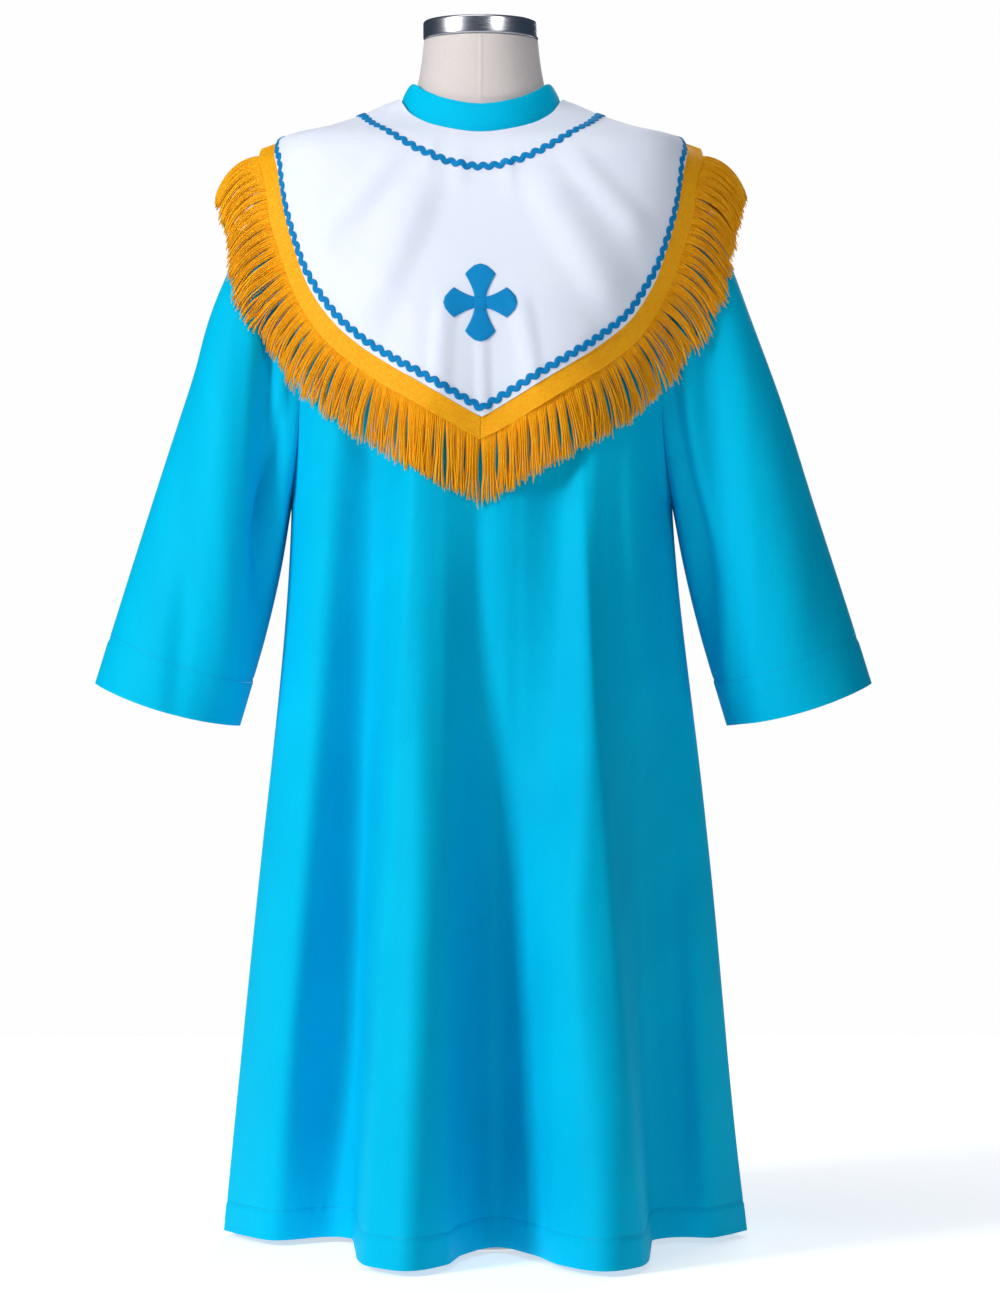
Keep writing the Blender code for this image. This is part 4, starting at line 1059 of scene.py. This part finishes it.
random = np.random.default_rng(11)
down = Vector((0.0, 0.0, -1.0))
for side, name in ((1, "fringe_left"), (-1, "fringe_right")):
    middle = CAPE_COLUMNS // 2
    half = slice(0, middle + 1) if side > 0 else slice(middle, None)
    edge, edge_normals = cape_outer[-1][half], cape_normals[-1][half]
    count = round(lengths_along(edge, 0)[-1] / LOCK_PITCH)
    points, out, _ = spaced(edge, edge_normals, count + 1)
    points, out = [Vector(point) for point in points], [Vector(normal) for normal in out]
    for k in (0, count):
        points[k].x = side * SEAM_GAP / 2
        out[k] = Vector((0.0, out[k].y, out[k].z)).normalized()
    roots, leaves, falls = [], [], []
    for k in range(count + 1):
        along = header_outward(points, out, k)
        way = fanned(along, points[k])
        level = Vector((side, 0.0, 0.0))
        if way.xy.length > 0.05:
            level = Vector((way.x, way.y, 0.0)).normalized()
        flat = min(max((points[k].z - SHOULDER_FLAT[0]) / (SHOULDER_FLAT[1] - SHOULDER_FLAT[0]), 0.0), 1.0)
        flatter = Vector((level.x, level.y, -SHOULDER_DROP))
        way = way.lerp(flatter, SHOULDER_SHARE * flat).normalized()
        root = laid_on(points[k] + way * along.length * HEADER_WIDTH, out[k], FRINGE_CLEARANCE)
        roots.append(root)
        for directions, column in ((leaves, 1), (falls, 2)):
            lean = float(through(FRINGE_HANG, root.z, column))
            directions.append(fanned(down.lerp(level, lean), root))
    offsets = [root - point for root, point in zip(roots, points)]
    for k in range(3, count - 2):
        even = sum(offsets[k - 3:k + 4], Vector()) / 7
        roots[k] = points[k] + even.normalized() * offsets[k].length
    leaves, falls = smoothed(leaves), smoothed(falls)
    starts, flow = [], []
    for k in range(count + 1):
        starts.append(points[k] + (roots[k] - points[k]).normalized() * HEADER_GAP)
        under = out[k] * -(HEADER_THICKNESS / 2 + THREAD_RADIUS * 0.6)
        spot, path = roots[k], [roots[k].lerp(points[k], HEADER_OVERLAP) + under, roots[k] + under]
        for step in range(1, FLOW_POINTS - 1):
            share = (step - 0.5) / (FLOW_POINTS - 2)
            heading = leaves[k].lerp(falls[k], share ** 0.8).normalized()
            spot = laid_on(spot + heading * LOCK_LENGTH / (FLOW_POINTS - 2), out[k], FRINGE_CLEARANCE)
            path.append(spot)
        flow.append(path)
    uneven = np.array(flow)
    flow = uneven.copy()
    for k in range(1, count):
        reach = min(3, k, count - k)
        flow[k] = uneven[k - reach:k + reach + 1].mean(axis=0)
        for step in range(2, FLOW_POINTS):
            flow[k, step] = laid_on(Vector(flow[k, step]), out[k], FRINGE_CLEARANCE * 0.6)

    stations = np.linspace(0.0, count, count * 5 + 1)
    inner_edge, outer_edge, lift = (
        read_at(stations, range(count + 1), np.array(rows)) for rows in (starts, roots, out)
    )
    lift = unit(lift)
    top, low = [], []
    for share in np.linspace(0.0, 1.0, HEADER_RIBS * 4 + 1):
        edges = min(1.0, 8 * share, 8 * (1 - share))
        rib = HEADER_RIB_HEIGHT * math.cos(share * math.tau * HEADER_RIBS) * edges
        centre = inner_edge + (outer_edge - inner_edge) * share - lift * HEADER_SINK * (1 - share)
        top.append(centre + lift * (HEADER_THICKNESS / 2 + rib))
        low.append(centre - lift * HEADER_THICKNESS / 2)
    header = cloth(name + "_header", np.array(top), np.array(low), gold_header)
    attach(header, "root")
    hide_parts(name)

    threads = count * THREADS_A_LOCK
    centres = np.zeros((threads, FLOW_POINTS, 3))
    drop = np.linspace(0.0, 1.0, FLOW_POINTS)
    for k in range(count):
        sway = random.normal(0.0, LOCK_SWAY)
        lock_reach = random.normal(1.0, LOCK_SPREAD)
        layer = LAYER_GAP * random.uniform(*LAYER_SHARES)
        closing = random.uniform(*LOCK_CLOSING)
        for j in range(THREADS_A_LOCK):
            across = (j + 0.5) / THREADS_A_LOCK - 0.5 + random.normal(0.0, 0.02)
            gather = 1.0 - closing * np.sin(np.clip((drop - 0.1) / 0.9, 0.0, 1.0) * math.pi) ** 1.2
            flare = TIP_FLARE * np.clip((drop - 0.55) / 0.45, 0.0, 1.0) ** 1.5
            stray = random.normal(0.0, THREAD_STRAY)
            at = k + 0.5 + across * (gather + flare) + sway * drop ** 1.5 + stray * drop ** 3
            at = np.clip(at, 0.04, count - 0.04)
            length = lock_reach * random.normal(*THREAD_LENGTHS)
            steps = np.clip(1 + (drop * (FLOW_POINTS - 1) - 1) * length, 0.0, 1.08 * (FLOW_POINTS - 1))
            steps[0] = 0.0
            row = np.clip(steps.astype(int), 0, FLOW_POINTS - 2)
            part = (steps - row)[:, None]
            column = np.clip(at.astype(int), 0, count - 1)
            aside = (at - column)[:, None]
            near, far = (
                flow[line, row] * (1 - part) + flow[line, row + 1] * part for line in (column, column + 1)
            )
            depth = (j % 3 - 1) * layer * np.sin(np.clip(drop * 1.4, 0.0, 1.0) * math.pi / 2)
            depth += (LOCK_BULGE - LOCK_HOLLOW * across ** 2) * np.sin(drop * math.pi)
            bunched = near * (1 - aside) + far * aside + np.array(out[k]) * depth[:, None]
            centres[k * THREADS_A_LOCK + j] = bunched
    frames = np.repeat(np.array(out)[:count], THREADS_A_LOCK, axis=0)[:, None, :]
    tangents = unit(np.gradient(centres, axis=1))
    beside = unit(np.cross(tangents, frames))
    above = np.cross(beside, tangents)
    radius = THREAD_RADIUS * np.interp(drop, *THREAD_TAPER)[None, :, None]
    rings = []
    for corner in range(THREAD_SIDES + 1):
        swing = math.tau * corner / THREAD_SIDES
        rings.append(centres + (beside * math.cos(swing) + above * math.sin(swing)) * radius)
    spots = np.stack(rings, 2).reshape(-1, 3).tolist()
    shape, place = numbered_grid(threads * FLOW_POINTS, THREAD_SIDES + 1)
    weave = shape.loops.layers.uv.new("threads")
    between = []
    for face in shape.faces:
        found = {vert[place] // (THREAD_SIDES + 1) // FLOW_POINTS for vert in face.verts}
        if len(found) > 1:
            between.append(face)
    bmesh.ops.delete(shape, geom=between, context="FACES_ONLY")
    bmesh.ops.delete(shape, geom=[edge for edge in shape.edges if not edge.link_faces], context="EDGES")
    for face in shape.faces:
        for loop in face.loops:
            row, corner = divmod(loop.vert[place], THREAD_SIDES + 1)
            down_thread = (row % FLOW_POINTS) * LOCK_LENGTH / (FLOW_POINTS - 1)
            loop[weave].uv = (corner * THREAD_SIDE, down_thread)
    for vert in shape.verts:
        vert.co = spots[vert[place]]
    bmesh.ops.remove_doubles(shape, verts=shape.verts[:], dist=1e-7)
    bmesh.ops.holes_fill(shape, edges=[edge for edge in shape.edges if edge.is_boundary], sides=4)
    locks = placed(name + "_locks", shape, gold_thread, crisp=120.0)
    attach(locks, "root")
    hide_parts(name)
# The dress form: a padded torso and neck under a stretched cover of natural linen, sewn in panels,
# with one seam up the front of the neck. Only the neck shows above the collar.
FORM_COLUMNS = 241
FORM_GAP = 0.0036
FORM_RINGS = np.array((
    # height, half width, front depth, back depth
    (0.588, 0.146, 0.090, 0.104),
    (0.628, 0.152, 0.094, 0.108),
    (0.728, 0.144, 0.096, 0.102),
    (0.818, 0.128, 0.094, 0.092),
    (0.918, 0.150, 0.118, 0.104),
    (0.988, 0.168, 0.112, 0.106),
    (1.038, 0.184, 0.106, 0.102),
))
FORM_NECK = np.array((
    # height, half width, front depth, back depth
    (1.040, 0.0740, 0.0700, 0.0660),
    (1.160, 0.0720, 0.0660, 0.0620),
    (1.180, 0.0700, 0.0650, 0.0600),
    (1.203, 0.0645, 0.0620, 0.0540),
    (1.224, 0.0612, 0.0595, 0.0520),
    (1.2422, 0.0592, 0.0580, 0.0505),
))
NECK_SEAM = 0.0008
NECK_SEAM_ANGLE = 0.9
TORSO_ROWS = 48
NECK_ROWS = 40
NECK_FROM = 1.176


def linen(name, hex_colour, shade_hex):
    """Natural linen, plain weave. Its threads, 0.5 mm apart, are drawn 1.3 mm apart, with slubs. Its colour
    is darker between the threads as painted shade, and varies at random with the slubs.
    """
    material = finish_named(name, Roughness=0.85, Sheen_Weight=0.1)
    tree = material.node_tree
    scaled = stretched(tree, threads_of(tree), (240.0, 240.0, 1.0))
    warp, weft = (bands(tree, scaled, 0.2, bands_direction=way) for way in "XY")
    woven = add(tree, "ShaderNodeMath", (), {0: warp, 1: weft}, operation="MULTIPLY").outputs["Value"]
    # Painted shade between the threads, mixed with the slubs' own random tone; the same pattern raises the
    # face.
    painted_light_and_tone = weighed(tree, woven, 0.5, noise(tree, threads_of(tree), 160.0, 3.0))
    feed(tree, "Base Color", mixed(tree, shade_hex, hex_colour, painted_light_and_tone))
    raised(tree, 0.15, painted_light_and_tone)
    return material


natural_linen = linen("natural_linen", "e2d7d2", "d6cac5")


def oval_rings(table, heights, turn):
    """Smooth rings through a table of half sizes, at the heights and turns given."""
    wide, front, back = (through(table, heights, k) for k in (1, 2, 3))
    deep = np.where(np.sin(turn) >= 0, front, back)
    reach = 1 / np.hypot(np.cos(turn) / wide, np.sin(turn) / deep)
    return np.stack((reach * np.cos(turn), -reach * np.sin(turn), heights + 0 * turn), -1)


shoulder_heights = np.concatenate((np.linspace(1.060, 1.118, 8), np.linspace(1.122, 1.173, 18)))
shoulder_angles = np.linspace(-90.0, 270.0, FORM_COLUMNS)
height, angle = np.meshgrid(shoulder_heights, shoulder_angles, indexing="ij")
shoulders = body_face(angle, height) - body_normal(angle, height) * (ROBE_CLOTH + FORM_GAP)
neck_inside = oval_rings(FORM_NECK, shoulders[..., 2], np.arctan2(-shoulders[..., 1], shoulders[..., 0]))
within = np.hypot(*neck_inside[..., :2].T) > np.hypot(*shoulders[..., :2].T)
shoulders = np.where(within.T[..., None], neck_inside, shoulders)
turns = np.radians(shoulder_angles)
torso_heights = np.linspace(FORM_RINGS[0, 0], FORM_RINGS[-1, 0], TORSO_ROWS)[:, None]
neck_heights = np.linspace(NECK_FROM, FORM_NECK[-1, 0], NECK_ROWS)[:, None]
torso = np.concatenate((
    oval_rings(FORM_RINGS, torso_heights, turns[None, :]), shoulders,
    oval_rings(FORM_NECK, neck_heights, turns[None, :]),
))
seam = NECK_SEAM * np.exp(-((np.degrees(turns) - 90.0) / NECK_SEAM_ANGLE) ** 2)
torso[..., 1] -= seam[None, :]
form_shape, place = numbered_grid(len(torso), FORM_COLUMNS)
weave = form_shape.loops.layers.uv.new("threads")
run_across, run_up = lengths_along(torso, 1), lengths_along(torso, 0)
for vert in form_shape.verts:
    row, column = divmod(vert[place], FORM_COLUMNS)
    vert.co = torso[row, column]
    for loop in vert.link_loops:
        loop[weave].uv = (run_across[row, column], run_up[row, column])
bmesh.ops.remove_doubles(form_shape, verts=form_shape.verts[:], dist=1e-6)
bmesh.ops.holes_fill(form_shape, edges=[edge for edge in form_shape.edges if edge.is_boundary], sides=0)
form_body = placed("form_torso", form_shape, natural_linen, crisp=60.0)
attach(form_body, "root")
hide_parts("form_torso")

# The neck cap is spun brass with a chrome plate, domed a little and rolled at its rim. The pole is a
# steel tube and the base a steel plate, both with a satin silver lacquer.
CAP_HEIGHT = 0.0222
CAP_DOME = 0.0022
CAP_ROLL = 0.0028
POLE_RADIUS = 0.014
BASE_RADIUS = 0.105
BASE_THICKNESS = 0.012
BASE_ROLL = 0.003
ROUND_STEPS = 96
DOME_RINGS = 8


def metal(name, hex_colour, metallic, low, high, scale):
    """Worked metal: a clear reflection, drawn out by fine polishing marks that vary its roughness."""
    material = finish_named(name, Base_Color=linear(hex_colour), Metallic=metallic)
    tree = material.node_tree
    place = add(tree, "ShaderNodeTexCoord").outputs["Object"]
    polish = noise(tree, stretched(tree, place, scale), 1.0, 3.0)
    feed(tree, "Roughness", ranged(tree, polish, to_low=low, to_high=high))
    return material


def spun(name, profile, finish):
    """A round piece from the radii and heights of its section, from its axis below to its axis above."""
    shape = bmesh.new()
    line = [shape.verts.new((radius, 0.0, height)) for radius, height in profile]
    edges = [shape.edges.new(pair) for pair in zip(line, line[1:])]
    bmesh.ops.spin(
        shape, geom=line + edges, axis=(0.0, 0.0, 1.0), cent=(0.0, 0.0, 0.0),
        steps=ROUND_STEPS, angle=math.tau,
    )
    bmesh.ops.remove_doubles(shape, verts=shape.verts[:], dist=1e-6)
    piece = placed(name, shape, finish, crisp=40.0)
    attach(piece, "root")
    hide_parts(name)
    return piece


def rolled(radius, low, high, roll):
    """A disc's section, from its axis below round two rolled corners to its upper face."""
    turns = np.radians(np.linspace(0.0, 90.0, 7))
    lower = [(radius - roll + roll * math.sin(a), low + roll - roll * math.cos(a)) for a in turns]
    upper = [(radius - roll + roll * math.cos(a), high - roll + roll * math.sin(a)) for a in turns]
    return [(0.0, low)] + lower + upper


chrome = metal("polished_chrome_plate", "c4c4cb", 1.0, 0.24, 0.32, (30.0, 30.0, 900.0))
lacquer = metal("satin_silver_lacquer", "cfd0d2", 0.4, 0.32, 0.46, (160.0, 160.0, 160.0))
rim, wide, front, back = FORM_NECK[-1]
section = rolled(wide + 0.0008, rim + 0.0003, rim + CAP_HEIGHT - CAP_DOME, CAP_ROLL)
edge_radius, edge_height = section[-1]
dome = []
for radius in np.linspace(edge_radius, 0.0, DOME_RINGS + 1)[1:]:
    dome.append((radius, edge_height + CAP_DOME * (1 - (radius / edge_radius) ** 2)))
cap = spun("form_neck_cap", section + dome, chrome)
for vert in cap.data.vertices:
    vert.co.y = vert.co.y * (front + back) / 2 / wide - (front - back) / 2
base_section = rolled(BASE_RADIUS, 0.0, BASE_THICKNESS, BASE_ROLL) + [(0.0, BASE_THICKNESS)]
base = spun("stand_base", base_section, lacquer)
pole_low, pole_high = BASE_THICKNESS + SEAM_GAP, FORM_RINGS[0, 0] - SEAM_GAP
pole_section = [(0.0, pole_low), (POLE_RADIUS, pole_low), (POLE_RADIUS, pole_high), (0.0, pole_high)]
pole = spun("stand_pole", pole_section, lacquer)
